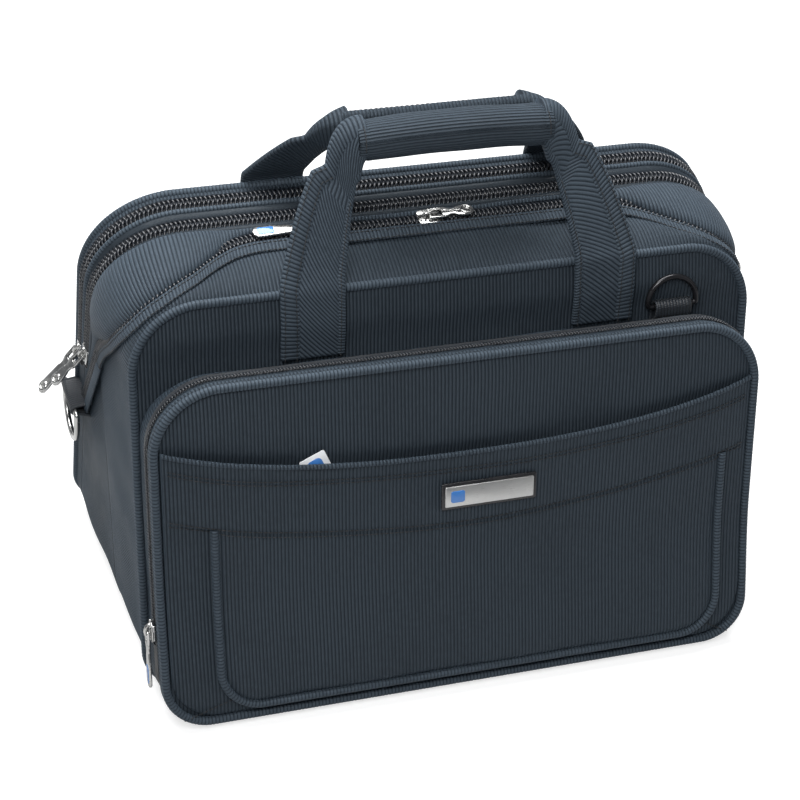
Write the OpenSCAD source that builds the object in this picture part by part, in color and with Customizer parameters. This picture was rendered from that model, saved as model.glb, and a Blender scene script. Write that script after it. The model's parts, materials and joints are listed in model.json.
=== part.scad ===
// Soft-sided flight bag with three zipped compartments, a zipped front pocket and two handles.
// Millimetres. X to the right, Y to the back, Z up; the origin is on the floor under the middle.

/* [Body] */
// Depth at the floor, front pocket included
overall_depth = 240; // [200:1:290]
// Width of the main front panel
panel_w = 416; // [360:1:500]
// Height of the main front panel, measured up its slope
panel_h = 275; // [250:1:330]
// Width of the rear panel
rear_w = 436; // [380:1:520]
// Height of the rear panel, measured up its slope
rear_h = 298; // [270:1:350]
// Lean of the front panel, degrees back from upright
front_lean = 11; // [8:0.5:14]
// Lean of the rear panel, degrees forward from upright
rear_lean = 11.2; // [8:0.1:14]
// Thickness of the stiffened front and rear panels
board = 3; // [2:0.1:4]
// Thickness of the gusset fabric with its lining
wall = 2.4; // [1.8:0.1:3]
// Corner radius at the top of the front panel
panel_r_top = 45; // [30:1:60]
// Corner radius at the foot of the front panel
panel_r_foot = 30; // [20:1:40]
// Corner radius at the top of the rear panel
rear_r_top = 60; // [40:1:75]
// Corner radius at the foot of the rear panel
rear_r_foot = 34; // [20:1:45]

/* [Dividers] */
// Thickness of the padded dividers
divider_t = 4; // [3:0.5:6]
// Gap between a divider's top edge and the zipped top
divider_drop = 16; // [12:1:40]
// Thickness of the base board
base_t = 3; // [2:0.1:4]

/* [Front pocket] */
// Width of the front pocket
pocket_w = 410; // [350:1:412]
// Top of the pocket, up the panel's slope
pocket_top = 234; // [210:1:240]
// Depth of the pocket off the panel
pocket_d = 34.4; // [28:0.2:42]
// Height at which the pocket front is sewn down and folds
pocket_fold = 48; // [40:1:70]
// Corner radius at the top of the pocket
pocket_r_top = 46; // [30:1:60]
// Corner radius at the foot of the pocket
pocket_r_foot = 32; // [20:1:40]
// Distance of the pocket zip behind the pocket's face
pocket_zip_back = 10.4; // [9:0.2:12]
// Depth of the organiser pouch inside the pocket
organiser_d = 9; // [8:0.5:12]

/* [Slip pocket] */
// Gap behind the slip pocket's panel
slip_gap = 6; // [5.5:0.1:9]
// Thickness of the slip pocket's panel
slip_t = 1.8; // [1.2:0.1:2.5]
// Middle of the slip pocket's top edge, up the slope
slip_top = 169; // [150:1:185]
// How far the slip pocket's top edge rises towards the sides
slip_rise = 24; // [0:1:30]
// Half width of the piped panel below the slip pocket's band
u_half = 174; // [150:1:185]
// Sideways offset of the piped panel and the name plate
plate_shift = 7; // [0:1:12]
// Width of the name plate's surround
plate_w = 65; // [40:1:90]
// Height of the name plate's surround
plate_h = 19; // [14:1:30]

/* [Zips] */
// Width of a closed coil chain
chain_w = 10; // [8:0.2:11]
// Gap between the two coils of a chain
chain_gap = 1.6; // [1.4:0.1:2]
// How far a coil stands proud of the fabric, and into it
coil_h = 1.2; // [0.9:0.1:1.4]
// Distance of the rear zip from the rear panel
zip_c_in = 11.5; // [10.5:0.5:16]
// Pitch from the rear zip to the middle zip at the top
zip_b_pitch = 17.5; // [17:0.5:24]
// Pitch from the middle zip to the front zip at the top
zip_a_pitch = 17; // [17:0.5:24]
// Height at which the rear zip ends on the sides
zip_c_end = 158; // [150:1:165]
// Height at which the front zip ends on the sides
zip_a_end = 124; // [118:1:130]
// Slider plate length along the chain
slider_l = 16; // [14:0.5:20]
// Slider plate width across the chain
slider_w = 13.6; // [12.5:0.1:15]
// Length of a long puller
pull_l = 42; // [30:1:44]
// Width of a puller
pull_w = 9; // [7:0.5:10]
// Radius of a puller's cross bar
pull_r = 1; // [0.8:0.1:1.2]
// Hang of the side pullers out of the fabric, in degrees
hang = 36; // [30:1:44]
// Sideways place of the right slider of the front zip
slider_a_right_x = 0; // [-4:1:10]
// Sideways place of the left slider of the front zip
slider_a_left_x = -76; // [-84:1:-72]

/* [Handles] */
// Half spacing of the handle's strap centres at the foot
strap_half = 98; // [80:1:110]
// Half spacing of the strap centres at the grip
strap_top_half = 81; // [66:1:90]
// Width of a handle strap
strap_w = 42; // [34:1:46]
// Thickness of a handle strap
strap_t = 4; // [3:0.2:5]
// Height of the front grip above the fold of its straps
grip_rise = 93; // [80:1:120]
// Radius of the front grip's padding
grip_r = 15; // [12:0.5:18]
// Half length of the grip's padding
grip_half = 62; // [50:1:64]
// Backward lean of the front handle past the front panel, in degrees
front_handle_lean = 15; // [0:1:15]
// Sideways offset of the front handle
handle_shift = 6; // [0:1:10]
// Height of the rear handle's band above its fold
rear_band_rise = 50; // [48:1:66]
// Width of the rear handle's band
rear_band_w = 30; // [24:1:36]
// Forward lean of the rear handle, degrees from upright
rear_handle_lean = 31; // [25:1:32]

/* [Rings] */
// Radius of the ring wire
wire_r = 2; // [1.5:0.1:2.5]
// Half length of a side ring's straight bar
ring_half = 22; // [18:1:26]
// How far a side ring's bar stands off the bag
ring_off = 9; // [8:0.5:14]
// Height of the side rings' bars above the floor
tab_z = 131; // [112:1:133]
// Length of a side ring's legs between its bar and its bow
side_ring_drop = 8; // [4:1:12]
// Sideways place of the front ring
front_ring_x = 152; // [146:1:156]
// How far the front ring's bar stands off the panel
front_ring_off = 7; // [6:0.5:9]
// Half length of the front ring's bar
front_ring_half = 17; // [14:1:20]
// Radial play of a ring bar or puller bar in its loop
play = 0.1; // [0.05:0.01:0.1]

/* [Hidden] */
$fn = 48;
gap = 0.3;
far = 700;
foot_y = -overall_depth / 2 + pocket_d / cos(front_lean);
rear_y = overall_depth / 2;
bottom_h = 6;
pocket_v0 = -3.5;
piping_w = 2.8;
piping_h = 2.5;
slip_off = pocket_d + slip_gap;
u_foot = 8;
u_r = 28;
u_top = 142;
bead = 2.4;
hinge_v = panel_h;
strap_off = piping_h + strap_t / 2 + 1;
hinge_clear = 3.5;
front_ring_v = pocket_top + 4;
slit = pocket_fold;
hull_fn = 32;
open_end = 0.06;
plate_film = 0.02;
divider_foot_z = wall + gap + base_t + 1;
divider_trim = 22;
pocket_zip_off = pocket_d - pocket_zip_back;
slip_half = pocket_w / 2 - bead * 2 - 1;
seam_drop = 52;
seam_rise = 28;
band_steps = 16;
band_xs = [for (i = [0 : band_steps]) -slip_half + 2 * slip_half * i / band_steps];
slip_wall = 2;
plate_off = slip_off + slip_t + gap / 10;
plate_v = slip_top - 30;
plate_x = plate_shift * 2;
rear_hinge_v = rear_h + 2;
strap_out = 14;
rear_foot = 60;
tab_half = 4.5;
tab_short = 5;
tag_size = [26, 16, 0.8];

// Sliders: height of the upper plate, plate thicknesses, neck and bridge
plate_z0 = coil_h + 0.4;
plate_t = 1.6;
lower_t = 1.3;
slider_in = 0.8;
neck = 0.35;
neck_l = 4;
bridge = [6.4, 3, 5];
bar_z = plate_z0 + plate_t + pull_r + 0.7;
fork_l = 9;
slider_b_z = zip_c_end + 19;
slider_c_z = zip_c_end + 12;
slider_pocket_v = slit + 14;
side_slider_w = slider_w - 2;

// Colours
coil_dark = [0.05, 0.05, 0.06];
strap_dark = [0.12, 0.13, 0.15];
strap_mid = [0.13, 0.14, 0.16];
cloth = [0.16, 0.17, 0.2];
piping = [0.19, 0.2, 0.23];
band = [0.2, 0.22, 0.25];
lining = [0.2, 0.21, 0.24];
tab_dark = [0.08, 0.08, 0.09];

// Points on the two leaning planes, and heights and depths that follow from them
function front_pt(x, v, off) = [x, foot_y + v * sin(front_lean) - off * cos(front_lean),
    v * cos(front_lean) + off * sin(front_lean)];
function rear_pt(x, v, off) = [x, rear_y - v * sin(rear_lean) + off * cos(rear_lean),
    v * cos(rear_lean) + off * sin(rear_lean)];
function rear_at(z) = rear_y - z * tan(rear_lean);
front_top = front_pt(0, panel_h, -board);
rear_top = rear_pt(0, rear_h, -board);
top_slope = atan((rear_top[2] - front_top[2]) / (rear_top[1] - front_top[1]));
function top_z(y) = front_top[2] + (y - front_top[1]) * tan(top_slope);
zip_c_top = rear_top[1] + board - zip_c_in;
zip_b_top = zip_c_top - zip_b_pitch;
zip_a_top = zip_b_top - zip_a_pitch;

// Zip lines seen from the side as [y, z], from the low end up past the top
above = rear_top[2] + 40;
zip_c = [[rear_at(zip_c_end) - zip_c_in, zip_c_end], [rear_at(above) - zip_c_in, above]];
zip_b_end = zip_c_end + 7;
zip_b = [[rear_at(zip_b_end) - zip_c_in - 12.5, zip_b_end], [zip_b_top, top_z(zip_b_top)],
    [zip_b_top - 4, above]];
zip_a = [[rear_at(zip_a_end) - 19.5, zip_a_end], [zip_a_top + 9, zip_a_end + 81],
    [zip_a_top - 2, front_top[2] - 28], [zip_a_top, top_z(zip_a_top)], [zip_a_top, above]];
border_foot = [28, bottom_h + gap];

function unit(v) = v / norm(v);
function left_of(v) = [-v[1], v[0]];
function step_dir(p, i) = unit(p[i + 1] - p[i]);
function mitre(p, i) = let (a = left_of(step_dir(p, max(i - 1, 0))),
    b = left_of(step_dir(p, min(i, len(p) - 2))), n = unit(a + b)) n / (n * a);
function shift(p, d) = [for (i = [0 : len(p) - 1]) p[i] + d * mitre(p, i)];
function flip(p) = [for (i = [len(p) - 1 : -1 : 0]) p[i]];
function strip(p, a, b) = concat(shift(p, a), flip(shift(p, b)));
side = chain_w / 2;
clear_side = side + gap;

// The flat facet at the rear of each side, from the foot of the front corner to the rear edge
facet_f = front_pt(panel_w / 2, panel_r_foot, -board);
facet_r0 = rear_pt(rear_w / 2, rear_r_foot, -board);
facet_r1 = rear_pt(rear_w / 2, rear_h - rear_r_top, -board);
facet_n = unit(cross(facet_r0 - facet_f, facet_r1 - facet_f));
function facet_x(y, z) = facet_f[0]
    - (facet_n[1] * (y - facet_f[1]) + facet_n[2] * (z - facet_f[2])) / facet_n[0];
function facet_at(p) = [facet_x(p[0], p[1]), p[0], p[1]];
tab_y = rear_at(max(tab_z, zip_a_end)) - 18;
ring_x = facet_x(tab_y, tab_z) + ring_off;
function along(p, z) = let (t = (z - p[0][1]) / (p[1][1] - p[0][1])) p[0] + t * (p[1] - p[0]);

module on_front(off = 0) {
    translate([0, foot_y, 0]) rotate([90 - front_lean, 0, 0]) translate([0, 0, off]) children();
}
module on_rear(off = 0) {
    translate([0, rear_y, 0]) rotate([90 + rear_lean, 0, 0]) translate([0, 0, -off]) children();
}
module above_floor() {
    intersection() {
        children();
        translate([-far / 2, -far / 2, 0]) cube(far);
    }
}
module rounded(w, low, high, r_low, r_high) {
    hull() {
        translate([-w / 2 + r_low, low + r_low]) circle(r_low, $fn = hull_fn * 2);
        translate([w / 2 - r_low, low + r_low]) circle(r_low, $fn = hull_fn * 2);
        translate([-w / 2 + r_high, high - r_high]) circle(r_high, $fn = hull_fn * 2);
        translate([w / 2 - r_high, high - r_high]) circle(r_high, $fn = hull_fn * 2);
    }
}
module front_outline(g = 0) {
    rounded(panel_w + 2 * g, -g, panel_h + g, panel_r_foot + g, panel_r_top + g);
}
module rear_outline(g = 0) {
    rounded(rear_w + 2 * g, -g, rear_h + g, rear_r_foot + g, rear_r_top + g);
}
module pocket_outline(g = 0) {
    rounded(pocket_w + 2 * g, pocket_v0 - g, pocket_top + g, pocket_r_foot + g, pocket_r_top + g);
}
module body_hull(g, reach = 0) {
    hull() {
        on_front(-board - plate_film + reach) linear_extrude(plate_film / 2) front_outline(g);
        on_rear(-board - plate_film + reach) linear_extrude(plate_film / 2) rear_outline(g);
    }
}
module ring(outer, inner) {
    difference() {
        body_hull(outer);
        body_hull(-inner, open_end);
    }
}
module side_region(points) {
    rotate([90, 0, 90]) linear_extrude(far, center = true) polygon(points);
}
module skin(points) {
    intersection() {
        ring(0, wall);
        side_region(points);
    }
}
module coil(points) {
    intersection() {
        ring(coil_h, coil_h);
        side_region(points);
    }
}
module half_space(sign) {
    translate([sign * far / 2, 0, 0]) cube([far, far * 2, far * 2], center = true);
}

// ---- fixed base, lower sides and the two zips behind the wedge ----
module base_board() {
    color("dimgray") translate([0, (foot_y + rear_y) / 2, wall + gap + base_t / 2])
        cube([panel_w - 2 * panel_r_foot - 10, rear_y - foot_y - 14, base_t], center = true);
}
module bottom_panel() {
    color(strap_mid) difference() {
        skin([[-far, 0], [far, 0], [far, bottom_h], [-far, bottom_h]]);
        on_front(-board - gap) linear_extrude(far) square_at(far, -far / 2, far / 2);
    }
}
lower_points = [[border_foot[0] + gap, bottom_h + gap], [far, bottom_h + gap], [far, zip_c_end - gap * 4],
    [zip_b[0][0] + 3, zip_c_end - gap * 4], shift(zip_a, -clear_side)[0] + [gap * 2, -gap * 2],
    shift(zip_a, clear_side)[0] + [gap * 2, -gap * 4]];
module lower_gusset(sign) {
    color([0.14, 0.15, 0.17]) intersection() {
        skin(lower_points);
        half_space(sign);
    }
}
module lower_gusset_left() lower_gusset(-1);
module lower_gusset_right() lower_gusset(1);
// A padded divider: a plate that leans from one [y, z] to another
module divider(foot, top) {
    lean = atan2(top[0] - foot[0], top[1] - foot[1]);
    high = norm(top - foot);
    translate([0, foot[0], foot[1]]) rotate([90 - lean, 0, 0]) translate([0, 0, -divider_t / 2])
        linear_extrude(divider_t) rounded(panel_w - divider_trim, 0, high, 20, panel_r_top - 4);
}
module rear_divider() {
    color(lining) divider([zip_b_top + 17, divider_foot_z],
        [(zip_b_top + zip_c_top) / 2, top_z(zip_b_top) - divider_drop]);
}
module centre_band() {
    color(band)
        skin(concat(shift(zip_b, -clear_side), flip(shift(zip_c, clear_side))));
}
module zip_b_rear_half() { color(coil_dark) coil(strip(zip_b, -chain_gap / 2, -side)); }
module zip_c_front_half() { color(coil_dark) coil(strip(zip_c, chain_gap / 2, side)); }

// ---- middle shell: wedge between the front and middle zips ----
module front_divider() {
    color(lining) divider([foot_y + 64, divider_foot_z],
        [(zip_a_top + zip_b_top) / 2, top_z(zip_a_top) - divider_drop]);
}
module wedge_gusset() {
    color(band)
        skin(concat(shift(zip_a, -clear_side), flip(shift(zip_b, clear_side))));
}
module zip_a_rear_half() { color(coil_dark) coil(strip(zip_a, -chain_gap / 2, -side)); }
module zip_b_front_half() { color(coil_dark) coil(strip(zip_b, chain_gap / 2, side)); }

// ---- front shell ----
module front_panel() {
    color(cloth) above_floor() on_front(-board) linear_extrude(board) front_outline(-gap / 2);
}
module front_piping() {
    color(piping) above_floor() on_front(gap / 10) linear_extrude(piping_h) difference() {
        front_outline(0);
        front_outline(-piping_w);
        pocket_outline(gap);
    }
}
front_points = concat([border_foot, [-far, bottom_h + gap], [-far, above], [zip_a_top, above]],
    flip(shift(zip_a, clear_side)));
module front_gusset() { color([0.15, 0.16, 0.19]) skin(front_points); }
module zip_a_front_half() { color(coil_dark) coil(strip(zip_a, chain_gap / 2, side)); }
module pocket_wall(off0, off1, g, t) {
    on_front(off0) linear_extrude(off1 - off0) difference() {
        pocket_outline(g);
        pocket_outline(g - t);
    }
}
module above_fold(lift = gap / 2) {
    intersection() {
        children();
        on_front(-far / 2) translate([-far / 2, slit + lift, 0]) cube(far);
    }
}
module below_fold() {
    difference() {
        children();
        on_front(-far / 2) translate([-far / 2, slit - gap / 2, 0]) cube(far);
    }
}
module pocket_gusset() {
    color(strap_mid) above_floor()
        pocket_wall(gap / 10, pocket_zip_off - side / 2 - gap, 0, wall);
}
module pocket_foot() {
    color(cloth) above_floor() below_fold() union() {
        pocket_wall(pocket_zip_off - side / 2 - gap / 2, pocket_d - board, 0, wall);
        on_front(pocket_d - board) linear_extrude(board) pocket_outline(0);
        slip_shape(pocket_d, slip_off + slip_t, 0);
    }
}
module pocket_coil(a, b) {
    above_fold(2) pocket_wall(pocket_zip_off + a, pocket_zip_off + b, coil_h, coil_h * 2);
}
module pocket_zip_inner_half() { color(coil_dark) pocket_coil(-side / 2, -chain_gap / 2); }
module organiser_pouch() {
    color([0.22, 0.23, 0.26]) on_front(gap) difference() {
        linear_extrude(organiser_d + 1.5) square_at(320, 18, 150);
        translate([0, 0, -1]) linear_extrude(organiser_d + 1) square_at(316, 20, 160);
    }
}
module square_at(w, low, high) { translate([-w / 2, low]) square([w, high - low]); }
module strap_foot(x, low, high) {
    translate([x - strap_w / 2, low]) square([strap_w, high - low]);
}
module front_handle_feet() {
    color(strap_dark) on_front(piping_h + 1) linear_extrude(strap_t) for (s = [-1, 1])
        strap_foot(handle_shift + s * (strap_half + 1), pocket_top + 4, hinge_v - hinge_clear);
    color(strap_dark) on_front(gap / 10) linear_extrude(piping_h + 1) for (s = [-1, 1])
        strap_foot(handle_shift + s * (strap_half + 1), pocket_top + 4, hinge_v - piping_w - 9);
}
module front_ring_tab() {
    color(tab_dark) on_front(0) difference() {
        translate([front_ring_x - front_ring_half + tab_short, front_ring_v - tab_half + 0.5, gap / 10])
            cube([2 * (front_ring_half - tab_short), 2 * tab_half - 1, front_ring_off + wire_r + 1.5]);
        translate([front_ring_x - far / 2, front_ring_v, front_ring_off]) rotate([0, 90, 0])
            cylinder(h = far, r = wire_r + play);
    }
}

// ---- the pocket's front, which folds down ----
module pocket_panel() {
    color([0.17, 0.18, 0.21]) above_fold() union() {
        pocket_wall(pocket_zip_off + side / 2 + gap, pocket_d - board, 0, wall);
        on_front(pocket_d - board) linear_extrude(board) pocket_outline(0);
    }
}
module pocket_piping() {
    color(piping) above_fold() on_front(pocket_d) linear_extrude(bead) difference() {
        pocket_outline(0);
        pocket_outline(-bead * 2);
    }
}
module pocket_zip_outer_half() { color(coil_dark) pocket_coil(chain_gap / 2, side / 2); }
function slip_v(x) = slip_top + slip_rise * pow(abs(x) / slip_half, 2.4);
function seam_v(x) = slip_top - seam_drop + seam_rise * pow(abs(x) / slip_half, 2);
module slip_outline(g = 0) {
    polygon(concat([for (x = band_xs) [x * (1 + g / slip_half), slip_v(x)]],
        [for (x = flip(band_xs)) [x * (1 + g / slip_half), seam_v(x) - g]]));
    translate([plate_shift, 0]) rounded(2 * (u_half + g), u_foot - g, u_top, u_r, 4);
}
// The slip pocket: a panel on short walls, open along its top edge
module slip_shape(off0, off1, top_cut) {
    on_front(off0) difference() {
        linear_extrude(off1 - off0) slip_outline();
        translate([0, 0, -1]) linear_extrude(off1 - off0 - slip_t + 1) union() {
            slip_outline(-slip_wall);
            translate([0, top_cut]) intersection() {
                slip_outline(-slip_wall);
                square_at(far, seam_v(0), far);
            }
        }
    }
}
module slip_panel() {
    color(cloth) above_fold() slip_shape(pocket_d + gap / 10, slip_off + slip_t, 30);
}
module slip_piping() {
    color(piping) above_fold() on_front(slip_off + slip_t + gap / 10) linear_extrude(bead)
        translate([plate_shift, 0]) difference() {
            rounded(2 * u_half, u_foot, u_top, u_r, 4);
            rounded(2 * (u_half - bead * 2), u_foot + bead * 2, u_top + 40, u_r - bead * 2, 4);
        }
}
module plate_at(off, w, h, t) {
    on_front(off) translate([plate_x - w / 2, plate_v - h / 2, 0]) cube([w, h, t]);
}
module plate_surround() {
    color([0.03, 0.03, 0.04]) difference() {
        plate_at(plate_off, plate_w, plate_h, 2);
        plate_at(plate_off + 1, plate_w - 3, plate_h - 3, 5);
    }
}
module name_plate() {
    color("silver") difference() {
        plate_at(plate_off + 1.02, plate_w - 4, plate_h - 4, 1.6);
        plate_at(plate_off + 2, plate_w - 44, plate_h - 11, 5);
    }
}
module plate_inlay() {
    color([0.1, 0.3, 0.6]) plate_at(plate_off + 2.02, plate_w - 44.4, plate_h - 11.4, 0.8);
}
module swing_tag() {
    color("white") on_front(pocket_d + slip_gap / 2 - tag_size[2] / 2) translate([-104, slip_top - 8, 0])
        rotate([0, 0, 12]) cube(tag_size);
}

// ---- handles ----
module strap_shape(s, rise, band, top_half) {
    mirror([s < 0 ? 1 : 0, 0]) polygon([[strap_half - strap_w / 2, hinge_clear],
        [strap_half + strap_w / 2, hinge_clear], [top_half + strap_out, rise + band / 2],
        [grip_half + gap, rise + band / 2], [grip_half + gap, rise - band / 2]]);
}
module front_handle_frame() {
    on_front(strap_off) translate([handle_shift, hinge_v, 0]) rotate([-front_handle_lean, 0, 0]) children();
}
module front_straps() {
    color(strap_mid) front_handle_frame() translate([0, 0, -strap_t / 2]) linear_extrude(strap_t)
        for (s = [-1, 1]) strap_shape(s, grip_rise, 2 * grip_r, strap_top_half);
}
module front_grip() {
    color([0.11, 0.12, 0.14]) front_handle_frame() translate([-grip_half, grip_rise, 0]) rotate([0, 90, 0])
        cylinder(h = 2 * grip_half, r = grip_r);
}
module rear_handle_frame() {
    hinge = rear_pt(handle_shift, rear_hinge_v, strap_off);
    translate(hinge) rotate([90 + rear_handle_lean, 0, 0]) children();
}
module rear_straps() {
    color(strap_mid) rear_handle_frame() translate([0, 0, -strap_t / 2]) linear_extrude(strap_t)
        for (s = [-1, 1]) strap_shape(s, rear_band_rise, rear_band_w, strap_top_half);
}
module rear_band() {
    color([0.11, 0.12, 0.14]) rear_handle_frame() translate([0, rear_band_rise, 0])
        cube([2 * grip_half, rear_band_w, strap_t + 4], center = true);
}
module rear_handle_feet() {
    color(strap_dark) on_rear(0) translate([0, 0, -strap_off - strap_t / 2]) linear_extrude(strap_t)
        for (s = [-1, 1])
            strap_foot(handle_shift + s * strap_half, rear_h - rear_foot, rear_hinge_v - hinge_clear);
    color(strap_dark) on_rear(0) translate([0, 0, -strap_off + strap_t / 2])
        linear_extrude(strap_off - strap_t / 2 - gap / 10) for (s = [-1, 1])
            strap_foot(handle_shift + s * strap_half, rear_h - rear_foot, rear_h - piping_w - 12);
}

// ---- rear shell ----
module rear_panel() {
    color(cloth) above_floor() on_rear(0) linear_extrude(board) rear_outline(-gap / 2);
}
module rear_piping() {
    color(piping) above_floor() on_rear(piping_h + gap / 10) linear_extrude(piping_h) difference() {
        rear_outline(0);
        rear_outline(-piping_w);
    }
}
module rear_gusset() {
    color([0.15, 0.16, 0.19]) skin(concat(shift(zip_c, -clear_side), [[far, above], [far, zip_c_end]]));
}
module zip_c_rear_half() { color(coil_dark) coil(strip(zip_c, -chain_gap / 2, -side)); }

// ---- rings on their webbing tabs ----
module ring_tab(s) {
    color(tab_dark) mirror([s < 0 ? 1 : 0, 0, 0]) difference() {
        translate([ring_x - ring_off + gap / 2, tab_y - ring_half + tab_short, tab_z - tab_half])
            cube([ring_off + tab_half, 2 * (ring_half - tab_short), 2 * tab_half]);
        translate([ring_x, tab_y - far / 2, tab_z]) rotate([-90, 0, 0]) cylinder(h = far, r = wire_r + play);
        body_hull(coil_h + gap);
        on_rear(gap) linear_extrude(board + 2 * gap) rear_outline(gap);
    }
}
module ring_tab_left() ring_tab(-1);
module ring_tab_right() ring_tab(1);
// A D-shaped ring in the XY plane: bar along X through the origin, bow towards -Y
module d_ring(half, drop) {
    translate([-half, 0, 0]) rotate([0, 90, 0]) cylinder(h = 2 * half, r = wire_r);
    for (s = [-1, 1]) {
        translate([s * half, 0, 0]) sphere(wire_r);
        translate([s * half, 0, 0]) rotate([90, 0, 0]) cylinder(h = drop, r = wire_r);
    }
    translate([0, -drop, 0]) rotate([0, 0, 180]) rotate_extrude(angle = 180)
        translate([half, 0]) circle(wire_r);
}
module side_ring(s) {
    color("silver") mirror([s < 0 ? 1 : 0, 0, 0]) translate([ring_x, tab_y, tab_z])
        rotate([90, 0, 90]) d_ring(ring_half, side_ring_drop);
}
module ring_left() side_ring(-1);
module ring_right() side_ring(1);
module ring_front() {
    color(coil_dark) on_front(front_ring_off) translate([front_ring_x, front_ring_v, 0])
        mirror([0, 1, 0]) d_ring(front_ring_half, 3);
}

// ---- sliders and pullers; X along the chain, Z out of the fabric ----
module slider(wide = slider_w, chain = chain_w) {
    color("silver") union() {
        translate([-slider_l / 2, -wide / 2, plate_z0]) cube([slider_l, wide, plate_t]);
        translate([-slider_l / 2, -chain / 2 + slider_in, -plate_z0 - lower_t])
            cube([slider_l, chain - 2 * slider_in, lower_t]);
        translate([-neck_l / 2, -chain_gap / 2 + neck, -plate_z0 - 0.5])
            cube([neck_l, chain_gap - 2 * neck, 2 * plate_z0 + 1]);
        difference() {
            translate([-bridge[0] / 2, -bridge[1] / 2, plate_z0 + plate_t - 0.1]) cube(bridge);
            translate([0, -far / 2, bar_z]) rotate([-90, 0, 0]) cylinder(h = far, r = pull_r + play);
        }
    }
}
// Puller lying along +X from its cross bar at the origin
module puller(long) {
    color("silver") union() {
        translate([0, -pull_w / 2 + 1, 0]) rotate([-90, 0, 0]) cylinder(h = pull_w - 2, r = pull_r);
        for (s = [-1, 1])
            translate([-pull_r, s * (pull_w / 2 - 1) - 1, -pull_r]) cube([fork_l, 2, 2 * pull_r]);
        translate([fork_l - 1, -pull_w / 2, -pull_r])
            cube([long - fork_l + 1 - pull_w / 2, pull_w, 2 * pull_r]);
        translate([long - pull_w / 2, 0, -pull_r]) cylinder(h = 2 * pull_r, r = pull_w / 2);
    }
}
module on_top(x, y) {
    translate([x, y, top_z(y)]) rotate([top_slope, 0, 0]) children();
}
// Frame on the left side's flat facet: X up the chain, Z out of the bag
module on_facet(path, z) {
    p = facet_at(along(path, z));
    q = facet_at(along(path, z + 20));
    u = unit(q - p);
    n = facet_n[0] > 0 ? facet_n : -facet_n;
    w = cross(n, u);
    mirror([1, 0, 0]) multmatrix([[u[0], w[0], n[0], p[0]], [u[1], w[1], n[1], p[1]],
        [u[2], w[2], n[2], p[2]], [0, 0, 0, 1]]) children();
}
module on_pocket_side() {
    on_front(pocket_zip_off) translate([-pocket_w / 2, slider_pocket_v, 0]) rotate([0, -90, 0])
        rotate([0, 0, 90]) children();
}
module slider_a_right() on_top(slider_a_right_x, zip_a_top) slider();
module puller_a_right() on_top(slider_a_right_x, zip_a_top) translate([0, 0, bar_z]) puller(pull_l - 12);
module slider_a_left() on_top(slider_a_left_x, zip_a_top) slider();
module puller_a_left() {
    on_top(slider_a_left_x, zip_a_top) translate([0, 0, bar_z]) rotate([0, 0, 180]) puller(pull_l);
}
module slider_b() on_facet(zip_b, slider_b_z) slider(side_slider_w);
module puller_b() {
    on_facet(zip_b, slider_b_z) translate([0, 0, bar_z]) rotate([0, 180 + hang, 0]) puller(pull_l - 10);
}
module slider_c() on_facet(zip_c, slider_c_z) slider(side_slider_w);
module puller_c() {
    on_facet(zip_c, slider_c_z) translate([0, 0, bar_z]) rotate([0, 180 + hang, 0]) puller(pull_l);
}
module slider_pocket() on_pocket_side() slider(slider_w - 4, side);
module puller_pocket() on_pocket_side() translate([0, 0, bar_z]) rotate([0, 180, 0]) puller(pull_l);

base_board();
bottom_panel();
lower_gusset_left();
lower_gusset_right();
rear_divider();
centre_band();
zip_b_rear_half();
zip_c_front_half();
ring_tab_left();
ring_tab_right();
front_divider();
wedge_gusset();
zip_a_rear_half();
zip_b_front_half();
front_panel();
front_piping();
front_gusset();
zip_a_front_half();
pocket_gusset();
pocket_foot();
pocket_zip_inner_half();
organiser_pouch();
front_handle_feet();
front_ring_tab();
pocket_panel();
pocket_piping();
pocket_zip_outer_half();
slip_panel();
slip_piping();
plate_surround();
name_plate();
plate_inlay();
swing_tag();
front_straps();
front_grip();
rear_panel();
rear_piping();
rear_gusset();
zip_c_rear_half();
rear_handle_feet();
rear_straps();
rear_band();
slider_a_right();
slider_a_left();
slider_b();
slider_c();
slider_pocket();
puller_a_right();
puller_a_left();
puller_b();
puller_c();
puller_pocket();
ring_left();
ring_right();
ring_front();
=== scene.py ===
import json
import math

import bpy
import numpy as np
from mathutils import Matrix, Vector


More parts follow.
